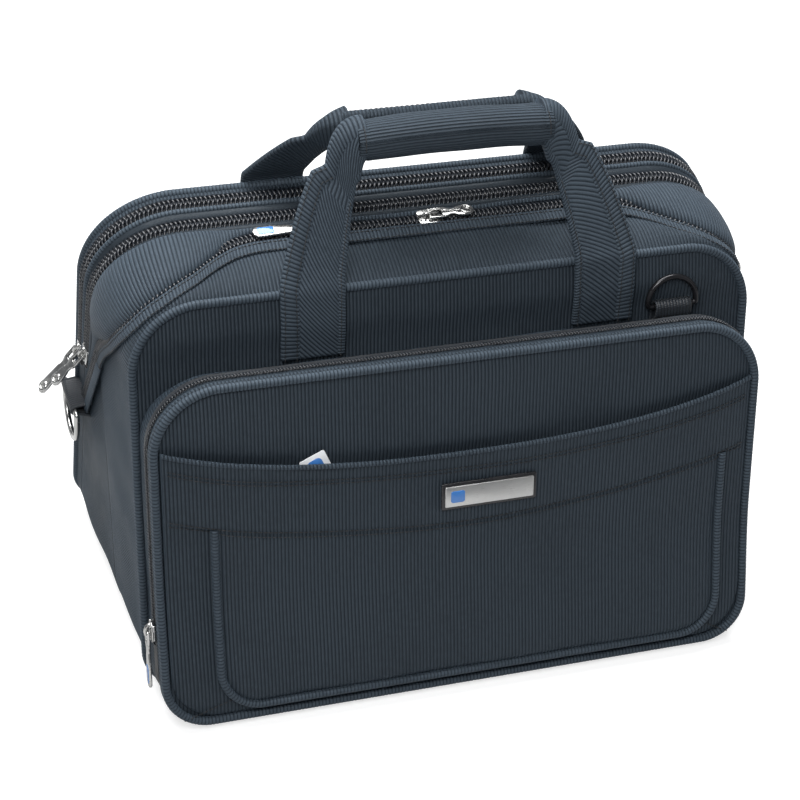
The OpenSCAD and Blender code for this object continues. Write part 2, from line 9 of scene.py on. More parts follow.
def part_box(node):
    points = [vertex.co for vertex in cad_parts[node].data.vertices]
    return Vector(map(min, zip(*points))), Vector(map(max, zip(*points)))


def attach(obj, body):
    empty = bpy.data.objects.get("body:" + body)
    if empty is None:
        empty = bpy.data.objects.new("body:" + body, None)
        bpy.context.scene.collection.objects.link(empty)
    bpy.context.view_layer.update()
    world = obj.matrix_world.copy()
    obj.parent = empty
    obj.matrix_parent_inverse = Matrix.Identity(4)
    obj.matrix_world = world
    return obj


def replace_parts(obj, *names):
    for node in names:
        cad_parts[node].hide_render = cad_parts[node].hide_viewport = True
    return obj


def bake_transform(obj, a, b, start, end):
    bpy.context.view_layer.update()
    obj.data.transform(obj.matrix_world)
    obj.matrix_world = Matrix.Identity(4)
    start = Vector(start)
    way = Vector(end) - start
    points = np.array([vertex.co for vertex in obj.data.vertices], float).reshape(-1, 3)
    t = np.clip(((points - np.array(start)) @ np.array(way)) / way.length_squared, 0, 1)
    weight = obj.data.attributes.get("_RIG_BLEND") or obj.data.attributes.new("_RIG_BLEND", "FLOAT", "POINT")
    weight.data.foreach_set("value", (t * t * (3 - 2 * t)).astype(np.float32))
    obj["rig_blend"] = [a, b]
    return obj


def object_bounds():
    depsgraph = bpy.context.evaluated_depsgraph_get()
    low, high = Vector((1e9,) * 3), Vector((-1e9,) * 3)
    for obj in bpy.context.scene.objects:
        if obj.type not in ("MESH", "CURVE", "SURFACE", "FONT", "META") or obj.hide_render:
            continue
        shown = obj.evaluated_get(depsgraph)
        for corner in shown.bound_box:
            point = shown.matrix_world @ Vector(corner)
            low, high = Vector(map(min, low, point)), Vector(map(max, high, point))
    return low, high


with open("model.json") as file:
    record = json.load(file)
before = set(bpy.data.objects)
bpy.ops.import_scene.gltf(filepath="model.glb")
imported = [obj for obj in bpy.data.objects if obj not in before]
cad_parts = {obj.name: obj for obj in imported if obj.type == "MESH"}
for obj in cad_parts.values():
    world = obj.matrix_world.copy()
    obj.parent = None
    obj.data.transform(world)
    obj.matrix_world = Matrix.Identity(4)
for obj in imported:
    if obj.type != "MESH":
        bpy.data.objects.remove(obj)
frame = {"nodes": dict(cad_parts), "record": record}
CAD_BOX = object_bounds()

bl_info = {
    "name": "Flight Bag Builder",
    "version": (1, 0, 0),
    "blender": (4, 5, 0),
    "location": "View3D > Sidebar > Flight Bag",
    "description": "Builds the soft and metal pieces of a zipped flight bag around its packed frame",
    "category": "Add Mesh",
}

# ---------------------------------------------------------------- measures taken from the frame
MM = 0.001
BOARD = 3 * MM
WALL = 2.2 * MM


def node_box(name):
    lo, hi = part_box(name)
    return np.array(lo, float), np.array(hi, float)


def joint_origin(name):
    for joint in frame["record"]["behaviour"]["joints"]:
        if joint["name"] == name:
            return np.array(joint["pos_m"], float)
    raise ValueError(f"no joint {name}")


def panel_lean(depth, height):
    """Lean of a board from the depth and height of its box."""
    lean = math.atan2(depth, height)
    for _ in range(8):
        lean = math.atan2(depth - BOARD * math.cos(lean), height)
    return lean


FRONT_LO, FRONT_HI = node_box("front_panel")
REAR_LO, REAR_HI = node_box("rear_panel")
FRONT_LEAN = panel_lean(FRONT_HI[1] - FRONT_LO[1], FRONT_HI[2])
REAR_LEAN = panel_lean(REAR_HI[1] - REAR_LO[1], REAR_HI[2])
FOOT_Y = FRONT_LO[1]
REAR_Y = REAR_HI[1]
FRONT_W = FRONT_HI[0] - FRONT_LO[0]
REAR_W = REAR_HI[0] - REAR_LO[0]
FRONT_H = FRONT_HI[2] / math.cos(FRONT_LEAN)
REAR_H = REAR_HI[2] / math.cos(REAR_LEAN)
FRONT_R = (30 * MM, 45 * MM)
REAR_R = (34 * MM, 60 * MM)


def front_at(x, v, off=0.0):
    """Point at height v up the front board's slope and off out of its face."""
    c, s = math.cos(FRONT_LEAN), math.sin(FRONT_LEAN)
    x, v, off = np.broadcast_arrays(np.asarray(x, float), np.asarray(v, float), np.asarray(off, float))
    return np.stack([x, FOOT_Y + v * s - off * c, v * c + off * s], -1)


FRONT_UP = front_at(0, 1, 0) - front_at(0, 0, 0)
FRONT_OUT = front_at(0, 0, 1) - front_at(0, 0, 0)
ACROSS = np.array([1.0, 0, 0])


def rear_at(x, v, off=0.0):
    """Point at height v up the rear board's slope and off out of its face."""
    c, s = math.cos(REAR_LEAN), math.sin(REAR_LEAN)
    x, v, off = np.broadcast_arrays(np.asarray(x, float), np.asarray(v, float), np.asarray(off, float))
    return np.stack([x, REAR_Y - v * s + off * c, v * c + off * s], -1)


def front_height(z, off):
    """Height up the front board's slope of a point at height z above the floor."""
    return (z - off * math.sin(FRONT_LEAN)) / math.cos(FRONT_LEAN)


POCKET_LO, POCKET_HI = node_box("pocket_panel")
POCKET_W = POCKET_HI[0] - POCKET_LO[0]
POCKET_D = 34.4 * MM
POCKET_TOP = front_height(POCKET_HI[2], POCKET_D)
POCKET_LOW = -3.5 * MM
POCKET_R = (32 * MM, 46 * MM)
POCKET_ZIP = 24 * MM
FOLD_V = 48 * MM
SLIP_OFF = POCKET_D + 6 * MM
SLIP_TOP = 169 * MM
SLIP_RISE = 24 * MM
SEAM_V = 117 * MM
SEAM_RISE = 28 * MM
PLATE_SHIFT = 7 * MM
U_HALF = 174 * MM
U_FOOT = 8 * MM
SLIP_HALF = 199 * MM
U_R = 28 * MM
HANDLE = joint_origin("front_handle_fold")
REAR_HANDLE = joint_origin("rear_handle_fold")
STRAP_HALF = 98 * MM
GRIP_RISE = 93 * MM
GRIP_HALF = 64 * MM
GRIP_R = 15 * MM
FRONT_HANDLE_LEAN = FRONT_LEAN + math.radians(15)
REAR_BAND_RISE = 55 * MM
REAR_HANDLE_LEAN = math.radians(31)


# ---------------------------------------------------------------- settings shown in the sidebar
class FLIGHTBAG_PG_cloth(bpy.types.PropertyGroup):
    rib_pitch: bpy.props.FloatProperty(
        name="Rib pitch", description="Distance from one rib of the cloth to the next",
        default=2.4 * MM, unit="LENGTH")
    ridge: bpy.props.FloatVectorProperty(
        name="Rib colour", description="Colour of the raised ribs", size=4, subtype="COLOR",
        default=(0.037, 0.048, 0.060, 1.0))
    # groove colour: the ribs' colour darkened as painted shade down the grooves between them
    groove_shade: bpy.props.FloatVectorProperty(
        name="Groove colour", description="Colour of the thread between two ribs", size=4, subtype="COLOR",
        default=(0.009, 0.012, 0.016, 1.0))
    piping_radius: bpy.props.FloatProperty(
        name="Piping radius", description="Radius of the covered cord at each edge",
        default=3.0 * MM, unit="LENGTH")


class FLIGHTBAG_PG_zips(bpy.types.PropertyGroup):
    pitch: bpy.props.FloatProperty(
        name="Coil pitch", description="Distance between two turns of a zip's coil",
        default=3.0 * MM, unit="LENGTH")
    reach: bpy.props.FloatProperty(
        name="Coil reach", description="Width of one half of a closed chain",
        default=4.6 * MM, unit="LENGTH")
    wire: bpy.props.FloatProperty(
        name="Coil wire", description="Radius of the coil's filament",
        default=1.0 * MM, unit="LENGTH")
    colour: bpy.props.FloatVectorProperty(
        name="Coil colour", description="Colour of the zip coils", size=4, subtype="COLOR",
        default=(0.009, 0.012, 0.017, 1.0))


class FLIGHTBAG_PG_stitches(bpy.types.PropertyGroup):
    pitch: bpy.props.FloatProperty(
        name="Stitch pitch", description="Distance between two stitches of a seam",
        default=3.4 * MM, unit="LENGTH")
    length: bpy.props.FloatProperty(
        name="Stitch length", description="Length of thread showing in each stitch",
        default=2.5 * MM, unit="LENGTH")
    thread: bpy.props.FloatProperty(
        name="Thread radius", description="Radius of the sewing thread",
        default=0.32 * MM, unit="LENGTH")


class FLIGHTBAG_PG_metal(bpy.types.PropertyGroup):
    nickel: bpy.props.FloatVectorProperty(
        name="Nickel", description="Colour of the plated sliders, pullers and rings", size=4, subtype="COLOR",
        default=(0.62, 0.62, 0.61, 1.0))
    enamel: bpy.props.FloatVectorProperty(
        name="Enamel", description="Colour of the enamel inlays", size=4, subtype="COLOR",
        default=(0.05, 0.20, 0.55, 1.0))
    wire: bpy.props.FloatProperty(
        name="Ring wire", description="Radius of the wire of the strap rings",
        default=2.0 * MM, unit="LENGTH")


class FLIGHTBAG_PG_stage(bpy.types.PropertyGroup):
    key_power: bpy.props.FloatProperty(
        name="Key light", description="Power of the large soft light", default=9.5, unit="POWER")
    fill_power: bpy.props.FloatProperty(
        name="Fill light", description="Power of the soft light from the right", default=1.2, unit="POWER")
    top_power: bpy.props.FloatProperty(
        name="Top light", description="Power of the large light overhead", default=62.0, unit="POWER")
    floor_glow: bpy.props.FloatProperty(
        name="Floor glow", description="White added to the floor where the camera sees it",
        default=0.68, min=0.0)
    lens: bpy.props.FloatProperty(
        name="Focal length", description="Focal length of the camera", default=99.5, min=10.0)


def settings(group):
    return getattr(bpy.context.scene, "flightbag_" + group)


# ---------------------------------------------------------------- small geometry tools
def unit(v):
    v = np.asarray(v, float)
    return v / np.maximum(np.linalg.norm(v, axis=-1, keepdims=True), 1e-12)


def arc_length(points):
    """Running length along a row of points."""
    step = np.linalg.norm(np.diff(points, axis=0), axis=1)
    return np.concatenate([[0.0], np.cumsum(step)])


def resample(points, pitch, *others):
    """Points a pitch apart along a path, and other rows of values taken at the same places."""
    run = arc_length(points)
    count = max(2, int(round(run[-1] / pitch)) + 1)
    at = np.linspace(0.0, run[-1], count)
    rows = []
    for row in (points,) + others:
        row = np.asarray(row, float)
        flat = row.reshape(len(row), -1)
        out = np.stack([np.interp(at, run, flat[:, k]) for k in range(flat.shape[1])], -1)
        rows.append(out.reshape((count,) + row.shape[1:]))
    return rows if others else rows[0]


def smooth_step(x):
    x = np.clip(x, 0.0, 1.0)
    return x * x * (3 - 2 * x)


def ripple(a, b, seed, size, count=7):
    """A gentle uneven wave of about unit height over two coordinates."""
    rng = np.random.default_rng(seed)
    total = np.zeros(np.broadcast(a, b).shape)
    for _ in range(count):
        angle, phase = rng.uniform(0, 2 * math.pi, 2)
        wave = 2 * math.pi / (size * rng.uniform(0.6, 1.7))
        total = total + np.sin(wave * (a * math.cos(angle) + b * math.sin(angle)) + phase)
    return total / math.sqrt(count)


def add_mesh(name, verts, faces, material, body, slot, uvs=None, loop_uvs=None):
    """A mesh object in the row frame, riding on a body."""
    mesh = bpy.data.meshes.new(name)
    mesh.from_pydata(np.asarray(verts, float).reshape(-1, 3).tolist(), [], [tuple(f) for f in faces])
    mesh.validate()
    layer = mesh.uv_layers.new(name="cloth")
    index = np.empty(len(mesh.loops), int)
    mesh.loops.foreach_get("vertex_index", index)
    if loop_uvs is not None and len(loop_uvs) == len(index):
        layer.data.foreach_set("uv", np.asarray(loop_uvs, float).ravel())
    elif uvs is not None:
        layer.data.foreach_set("uv", np.asarray(uvs, float).reshape(-1, 2)[index].ravel())
    mesh.materials.append(material)
    mesh.polygons.foreach_set("use_smooth", np.full(len(mesh.polygons), True))
    mesh.update()
    obj = bpy.data.objects.new(name, mesh)
    bpy.context.scene.collection.objects.link(obj)
    if body:
        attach(obj, body)
    return obj


def grid_faces(rows, cols, start=0, close_rows=False, close_cols=False, flip=False):
    """Faces of a grid; they point along rows x cols, or against it when flipped."""
    i = np.arange(rows if close_rows else rows - 1)
    j = np.arange(cols if close_cols else cols - 1)
    i, j = [k.ravel() for k in np.meshgrid(i, j, indexing="ij")]
    i1, j1 = (i + 1) % rows, (j + 1) % cols
    quad = np.stack([i * cols + j, i1 * cols + j, i1 * cols + j1, i * cols + j1], -1) + start
    return quad[:, ::-1] if flip else quad


def grid_normals(grid, flip=False):
    n = np.cross(np.gradient(grid, axis=0), np.gradient(grid, axis=1))
    return unit(-n if flip else n)


def shell(name, grid, uv, thickness, material, body, slot="ribbed_nylon", flip=False):
    """A cloth panel with a real thickness: the grid is its outer face."""
    rows, cols = grid.shape[:2]
    normals = grid_normals(grid, flip)
    outer = grid.reshape(-1, 3)
    inner = (grid - normals * thickness).reshape(-1, 3)
    count = rows * cols
    faces = [grid_faces(rows, cols, 0, flip=flip), grid_faces(rows, cols, count, flip=not flip)]
    ring = np.concatenate([np.arange(cols), np.arange(1, rows) * cols + cols - 1,
                           (rows - 1) * cols + np.arange(cols - 2, -1, -1),
                           np.arange(rows - 2, 0, -1) * cols])
    nxt = np.roll(ring, -1)
    rim = np.stack([ring, nxt, nxt + count, ring + count], -1)
    faces.append(rim[:, ::-1] if flip else rim)
    verts = np.concatenate([outer, inner])
    uvs = np.concatenate([uv.reshape(-1, 2)] * 2)
    verts[:, 2] = np.maximum(verts[:, 2], 0.2 * MM)
    return add_mesh(name, verts, np.concatenate(faces), material, body, slot, uvs)


def path_frames(path, up, closed=False):
    """Tangent and sideways direction at each point of a path, from the direction that is up."""
    if closed:
        tangent = unit(np.roll(path, -1, 0) - np.roll(path, 1, 0))
    else:
        tangent = unit(np.gradient(path, axis=0))
    side = unit(np.cross(up, tangent))
    return tangent, side, unit(np.cross(tangent, side))


def tube_data(path, up, radius, sides=8, closed=False):
    """Vertices, faces and UVs of a round bar along a path; radius may change along it."""
    count = len(path)
    radius = np.broadcast_to(np.asarray(radius, float), (count,))
    _, side, top = path_frames(path, up, closed)
    turn = np.arange(sides) * 2 * math.pi / sides
    ring = (np.cos(turn)[None, :, None] * side[:, None, :]
            + np.sin(turn)[None, :, None] * top[:, None, :])
    verts = (path[:, None, :] + ring * radius[:, None, None]).reshape(-1, 3)
    faces = [tuple(f) for f in grid_faces(count, sides, 0, closed, True, flip=False)]
    run = arc_length(path)
    u = np.repeat(run, sides)
    v = np.tile(turn, count) * np.repeat(radius, sides)
    if not closed:
        faces.append(tuple(range(sides)))
        faces.append(tuple((count - 1) * sides + np.arange(sides)[::-1]))
    return verts, faces, np.stack([u, v], -1)


def join_data(parts):
    """Several sets of vertices, faces and UVs as one."""
    verts, faces, uvs, start = [], [], [], 0
    for v, f, t in parts:
        verts.append(np.asarray(v, float).reshape(-1, 3))
        faces.extend(tuple(int(k) + start for k in face) for face in f)
        uvs.append(np.asarray(t, float).reshape(-1, 2))
        start += len(verts[-1])
    return np.concatenate(verts), faces, np.concatenate(uvs)


def slab_data(shape, low, high, bevel, origin, ex, ey, ez):
    """A flat plate of a given outline with bevelled edges, placed in a frame."""
    shape = np.asarray(shape, float)
    area = np.sum(shape[:, 0] * np.roll(shape[:, 1], -1) - np.roll(shape[:, 0], -1) * shape[:, 1])
    if area < 0:
        shape = shape[::-1]
    along = unit(np.roll(shape, -1, 0) - np.roll(shape, 1, 0))
    outward = np.stack([along[:, 1], -along[:, 0]], -1)
    n = len(shape)
    rings, cut = [], 0.3
    for inset, z in ((bevel, low), (bevel * cut, low + bevel * cut), (0, low + bevel), (0, high - bevel),
                     (bevel * cut, high - bevel * cut), (bevel, high)):
        p = shape - outward * inset
        rings.append(origin + p[:, :1] * ex + p[:, 1:2] * ey + z * ez)
    verts = np.concatenate(rings)
    faces = []
    for k in range(len(rings) - 1):
        for i in range(n):
            j = (i + 1) % n
            faces.append((k * n + i, k * n + j, (k + 1) * n + j, (k + 1) * n + i))
    faces.append(tuple(range(n))[::-1])
    faces.append(tuple((len(rings) - 1) * n + np.arange(n)))
    if np.dot(np.cross(ex, ey), ez) < 0:
        faces = [f[::-1] for f in faces]
    uvs = np.tile(shape, (len(rings), 1))
    return verts, faces, uvs


def round_rect(x0, y0, x1, y1, r, steps=5):
    points = []
    for cx, cy, a0 in ((x1 - r, y1 - r, 0), (x0 + r, y1 - r, 90), (x0 + r, y0 + r, 180),
                       (x1 - r, y0 + r, 270)):
        for k in range(steps + 1):
            a = math.radians(a0 + 90 * k / steps)
            points.append((cx + r * math.cos(a), cy + r * math.sin(a)))
    return np.array(points)


# ---------------------------------------------------------------- the bag's shell as a ruled surface
SEGMENTS = (12, 14, 56, 18, 84, 18, 56, 14, 12)


def outline(width, high, radii, low=0.0, inset=0.0, segments=SEGMENTS):
    """A rounded panel's edge, clockwise from the middle of its foot: x, v and outward x, v."""
    r0, r1 = max(radii[0] - inset, 0.5 * MM), max(radii[1] - inset, 0.5 * MM)
    half, low, high = width / 2 - inset, low + inset, high - inset
    knots = [("line", (0, low), (-half + r0, low), (0, -1)),
             ("arc", (-half + r0, low + r0), r0, 270, 180),
             ("line", (-half, low + r0), (-half, high - r1), (-1, 0)),
             ("arc", (-half + r1, high - r1), r1, 180, 90),
             ("line", (-half + r1, high), (half - r1, high), (0, 1)),
             ("arc", (half - r1, high - r1), r1, 90, 0),
             ("line", (half, high - r1), (half, low + r0), (1, 0)),
             ("arc", (half - r0, low + r0), r0, 0, -90),
             ("line", (half - r0, low), (0, low), (0, -1))]
    points, normals = [], []
    for knot, n in zip(knots, segments):
        part = np.arange(n) / n
        if knot[0] == "line":
            a, b = np.array(knot[1]), np.array(knot[2])
            points.append(a + part[:, None] * (b - a))
            normals.append(np.tile(np.array(knot[3], float), (n, 1)))
        else:
            angle = np.radians(knot[3] + part * (knot[4] - knot[3]))
            direction = np.stack([np.cos(angle), np.sin(angle)], -1)
            points.append(np.array(knot[1]) + knot[2] * direction)
            normals.append(direction)
    points.append(np.array([[0.0, low]]))
    normals.append(np.array([[0.0, -1.0]]))
    points, normals = np.concatenate(points), np.concatenate(normals)
    return points[:, 0], points[:, 1], normals[:, 0], normals[:, 1]


fx, fv, _, _ = outline(FRONT_W, FRONT_H, FRONT_R)
rx, rv, _, _ = outline(REAR_W, REAR_H, REAR_R)
SHELL_FRONT = front_at(fx, fv)
SHELL_REAR = rear_at(rx, rv)
SHELL_DF = np.gradient(SHELL_FRONT, axis=0)
SHELL_DR = np.gradient(SHELL_REAR, axis=0)
STATIONS = np.arange(len(SHELL_FRONT))


def on_shell(s, t, lift=0.0):
    """Point of the shell at station s and share t of the way back, lifted off it, and its outward normal."""
    t = np.asarray(t, float)[..., None]
    p = SHELL_FRONT[s] * (1 - t) + SHELL_REAR[s] * t
    n = unit(np.cross(SHELL_DF[s] * (1 - t) + SHELL_DR[s] * t, SHELL_REAR[s] - SHELL_FRONT[s]))
    return p + n * np.asarray(lift, float)[..., None], n


def crossing(line):
    """Share of the way back at which each station crosses a line drawn on the side view as (y, z) points."""
    line = np.asarray(line, float)
    t = np.full(len(STATIONS), 0.5)
    f, r = SHELL_FRONT, SHELL_REAR
    for _ in range(16):
        z = f[:, 2] + t * (r[:, 2] - f[:, 2])
        y = np.interp(z, line[:, 1], line[:, 0])
        t = (y - f[:, 1]) / (r[:, 1] - f[:, 1])
    return t


def rear_y(z):
    return REAR_Y - z * math.tan(REAR_LEAN)


def slider_spot(node):
    lo, hi = node_box(node)
    return (lo + hi) / 2


def soften(line, rounds=3):
    """Cut the corners of a line so that it bends smoothly."""
    line = np.asarray(line, float)
    for _ in range(rounds):
        q = line[:-1] * 0.75 + line[1:] * 0.25
        r = line[:-1] * 0.25 + line[1:] * 0.75
        line = np.concatenate([line[:1], np.stack([q, r], 1).reshape(-1, 2), line[-1:]])
    return line


ZIP_A_Y = slider_spot("slider_a_right")[1] - 0.6 * MM
ZIP_B_Y = ZIP_A_Y + 17 * MM
ZIP_C_IN = 11.5 * MM
ZIP_A_END = 124 * MM
ZIP_B_END = 165 * MM
ZIP_C_END = 158 * MM
ABOVE = REAR_HI[2] + 40 * MM
# heights at which the middle and the front zip turn on to the top
B_TURN = 284.7 * MM
A_RISE = 241.4 * MM
A_TURN = 280 * MM
LINE_C = [(rear_y(0) - ZIP_C_IN, 0.0), (rear_y(ABOVE) - ZIP_C_IN, ABOVE)]
LINE_B = [(rear_y(ZIP_B_END) - ZIP_C_IN - 12.5 * MM, ZIP_B_END), (ZIP_B_Y, B_TURN), (ZIP_B_Y - 4 * MM, ABOVE)]
LINE_A = soften([(rear_y(ZIP_A_END) - 19.5 * MM, ZIP_A_END), (ZIP_A_Y + 9 * MM, ZIP_A_END + 81 * MM),
                 (ZIP_A_Y - 2 * MM, A_RISE), (ZIP_A_Y, A_TURN), (ZIP_A_Y, ABOVE)])
# Where the sides bend as the bag opens: straight lines on the side view, each a start and an end point
FOLD_DIR = np.array([-0.977, 0.215])
MIDDLE_START = np.array([LINE_B[0][0], LINE_B[0][1]])
MIDDLE_REACH = 35 * MM
MIDDLE_END = MIDDLE_START + MIDDLE_REACH * FOLD_DIR
FRONT_END = MIDDLE_END + 40 * MM * FOLD_DIR
UP_FOLD = np.array([FOLD_DIR[1], -FOLD_DIR[0]])
LINE_MIDDLE = [MIDDLE_END - 0.2 * UP_FOLD, MIDDLE_END + 0.2 * UP_FOLD]
T_A, T_B, T_C = crossing(LINE_A), crossing(LINE_B), crossing(LINE_C)
# The front zip sweeps forward round the top corners: share of the way back against the station
CORNER_SWEEP = [(72, 0.0), (76, 0.0), (82, -0.13), (87, -0.27), (92, -0.325), (97, -0.31), (101, -0.20),
                (105, -0.07), (110, 0.0)]
SWEEP = np.interp(np.minimum(STATIONS, STATIONS[::-1]), *np.array(CORNER_SWEEP).T)
SWEEP = np.convolve(np.pad(SWEEP, 3, mode="edge"), np.ones(7) / 7, "valid")
T_A = T_A + SWEEP
T_MIDDLE = crossing(LINE_MIDDLE)
# where the ribbed side ends and the rear strip beside the rear panel begins
REAR_STRIP = 17 * MM
T_STRIP = crossing([(rear_y(z) - REAR_STRIP, z) for z in (0.0, 0.3)])


def blend_across(obj, low_body, high_body, start, end):
    """Let cloth bend between two bodies along a line of the side view."""
    obj.parent = None
    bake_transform(obj, low_body, high_body, (0, start[0], start[1]), (0, end[0], end[1]))


def blend_middle(obj):
    blend_across(obj, "core", "mid_shell", MIDDLE_START, MIDDLE_END)


def blend_front(obj):
    blend_across(obj, "mid_shell", "front_shell", MIDDLE_END, FRONT_END)


def depth_share(s, t, distance):
    """t moved back by a distance at each station."""
    run = np.linalg.norm(SHELL_REAR[s] - SHELL_FRONT[s], axis=-1)
    return t + distance / run


def band(s, t0, t1, cols, lift):
    """A grid on the shell between two lines, with UVs in metres; lift is a function of share and run."""
    share = np.linspace(0, 1, cols)
    t = t0[:, None] * (1 - share) + t1[:, None] * share
    s2 = np.repeat(s[:, None], cols, 1)
    base, _ = on_shell(s2, t)
    run = arc_length(base[:, cols // 2])
    across = np.cumsum(np.linalg.norm(np.diff(base, axis=1, prepend=base[:, :1]), axis=-1), 1)
    height = lift(share[None, :], run[:, None], across, base)
    grid, _ = on_shell(s2, t, height)
    uv = np.stack([np.repeat(run[:, None], cols, 1), across], -1)
    return grid, uv


def above(t, end):
    """Stations whose crossing lies above a height."""
    z = SHELL_FRONT[:, 2] + t * (SHELL_REAR[:, 2] - SHELL_FRONT[:, 2])
    return STATIONS[z >= end]


# ---------------------------------------------------------------- materials
def new_group(name, inputs, outputs):
    tree = bpy.data.node_groups.new(name, "ShaderNodeTree")
    for label, kind, value in inputs:
        socket = tree.interface.new_socket(label, in_out="INPUT", socket_type=kind)
        if value is not None:
            socket.default_value = value
    for label, kind in outputs:
        tree.interface.new_socket(label, in_out="OUTPUT", socket_type=kind)
    return tree, tree.nodes.new("NodeGroupInput"), tree.nodes.new("NodeGroupOutput")


class Wires:
    """Short calls that add and join shader nodes."""

    def __init__(self, tree):
        self.tree = tree

    def node(self, kind, **values):
        node = self.tree.nodes.new(kind)
        for key, value in values.items():
            setattr(node, key, value)
        return node

    def put(self, socket, value):
        if isinstance(value, bpy.types.NodeSocket):
            self.tree.links.new(value, socket)
        elif value is not None:
            socket.default_value = value

    def math(self, operation, a, b=None):
        node = self.node("ShaderNodeMath", operation=operation)
        for socket, value in zip(node.inputs, (a, b)):
            self.put(socket, value)
        return node.outputs[0]

    def remap(self, value, a, b, c, d):
        node = self.node("ShaderNodeMapRange", interpolation_type="SMOOTHSTEP")
        for socket, v in zip(node.inputs, (value, a, b, c, d)):
            self.put(socket, v)
        return node.outputs[0]

    def mix(self, share, a, b):
        node = self.node("ShaderNodeMix", data_type="RGBA")
        self.put(node.inputs[0], share)
        self.put(node.inputs[6], a)
        self.put(node.inputs[7], b)
        return node.outputs[2]

    def noise(self, vector, scale, detail=2.0, rough=0.5):
        node = self.node("ShaderNodeTexNoise")
        self.put(node.inputs["Vector"], vector)
        node.inputs["Scale"].default_value = scale
        node.inputs["Detail"].default_value = detail
        node.inputs["Roughness"].default_value = rough
        return node.outputs["Fac"]


def ribbed_group():
    """Corded cloth: raised ribs a pitch apart, crossed by fine threads, with an uneven sheen; the grooves
    between the ribs take a darker colour as painted shade.
    """
    f, c, v = "NodeSocketFloat", "NodeSocketColor", "NodeSocketVector"
    tree, gin, gout = new_group("Ribbed cloth", [
        ("Cloth", v, None), ("Place", v, None), ("Pitch", f, 0.003), ("Ridge", c, (0.05, 0.05, 0.06, 1)),
        ("Groove Shade", c, (0.01, 0.01, 0.012, 1)), ("Depth", f, 1.0)],
        [("Color", c), ("Roughness", f), ("Height", f)])
    w = Wires(tree)
    split = w.node("ShaderNodeSeparateXYZ")
    w.put(split.inputs[0], gin.outputs["Cloth"])
    wander = w.noise(gin.outputs["Place"], 9.0, 2.0)
    slide = w.math("MULTIPLY", w.math("SUBTRACT", wander, 0.5), 0.3)
    u = w.math("ADD", w.math("DIVIDE", split.outputs[0], gin.outputs["Pitch"]), slide)
    saw = w.math("ABSOLUTE", w.math("SUBTRACT", w.math("FRACT", u), 0.5))
    rib = w.remap(saw, 0.46, 0.22, 0.0, 1.0)
    crown = w.remap(saw, 0.34, 0.0, 0.0, 1.0)
    cross = w.math("DIVIDE", split.outputs[1], w.math("MULTIPLY", gin.outputs["Pitch"], 0.27))
    thread = w.math("ABSOLUTE", w.math("SINE", w.math("MULTIPLY", cross, math.pi)))
    fuzz = w.noise(gin.outputs["Place"], 900.0, 3.0, 0.7)
    patch = w.noise(gin.outputs["Place"], 16.0, 4.0, 0.6)
    speck = w.noise(gin.outputs["Place"], 260.0, 2.0, 0.6)
    # lighter on the ridges, with painted shade in the grooves; patches, cross threads and specks vary the
    # tone at random
    light = w.math("MULTIPLY", rib, w.remap(patch, 0.3, 0.72, 0.82, 1.16))
    light = w.math("MULTIPLY", light, w.remap(thread, 0.0, 0.8, 0.72, 1.0))
    light = w.math("MULTIPLY", light, w.remap(speck, 0.3, 0.7, 0.86, 1.12))
    w.put(gout.inputs["Color"], w.mix(w.math("MINIMUM", light, 1.0), gin.outputs["Groove Shade"],
                                      gin.outputs["Ridge"]))
    rough = w.remap(patch, 0.3, 0.7, 0.50, 0.66)
    w.put(gout.inputs["Roughness"], w.math("ADD", rough,
                                           w.math("MULTIPLY", w.math("SUBTRACT", fuzz, 0.5), 0.25)))
    height = w.math("ADD", w.math("MULTIPLY", w.math("ADD", rib, w.math("MULTIPLY", crown, 0.5)), 0.62),
                    w.math("MULTIPLY", thread, w.math("MULTIPLY", rib, 0.16)))
    height = w.math("ADD", height, w.math("MULTIPLY", fuzz, 0.12))
    w.put(gout.inputs["Height"], w.math("MULTIPLY", height, gin.outputs["Depth"]))
    return tree


def woven_group():
    """Plain woven tape and webbing: threads along and across."""
    f, c, v = "NodeSocketFloat", "NodeSocketColor", "NodeSocketVector"
    tree, gin, gout = new_group("Woven tape", [
        ("Cloth", v, None), ("Place", v, None), ("Along", f, 0.0008), ("Across", f, 0.0016),
        ("Thread", c, (0.03, 0.03, 0.034, 1)), ("Gap", c, (0.006, 0.006, 0.008, 1))],
        [("Color", c), ("Roughness", f), ("Height", f)])
    w = Wires(tree)
    split = w.node("ShaderNodeSeparateXYZ")
    w.put(split.inputs[0], gin.outputs["Cloth"])
    a = w.math("MULTIPLY", w.math("DIVIDE", split.outputs[0], gin.outputs["Along"]), math.pi)
    b = w.math("MULTIPLY", w.math("DIVIDE", split.outputs[1], gin.outputs["Across"]), math.pi)
    warp = w.math("ABSOLUTE", w.math("SINE", b))
    weft = w.math("ABSOLUTE", w.math("SINE", w.math("ADD", a, w.math("MULTIPLY", w.math("FLOOR",
                  w.math("DIVIDE", split.outputs[1], gin.outputs["Across"])), math.pi / 2))))
    height = w.math("ADD", w.math("MULTIPLY", warp, 0.7), w.math("MULTIPLY", weft, 0.3))
    patch = w.noise(gin.outputs["Place"], 40.0, 3.0, 0.6)
    light = w.math("MULTIPLY", w.remap(height, 0.15, 0.85, 0.0, 1.0), w.remap(patch, 0.3, 0.7, 0.75, 1.15))
    w.put(gout.inputs["Color"], w.mix(w.math("MINIMUM", light, 1.0), gin.outputs["Gap"],
                                      gin.outputs["Thread"]))
    w.put(gout.inputs["Roughness"], w.remap(patch, 0.3, 0.7, 0.42, 0.6))
    w.put(gout.inputs["Height"], height)
    return tree


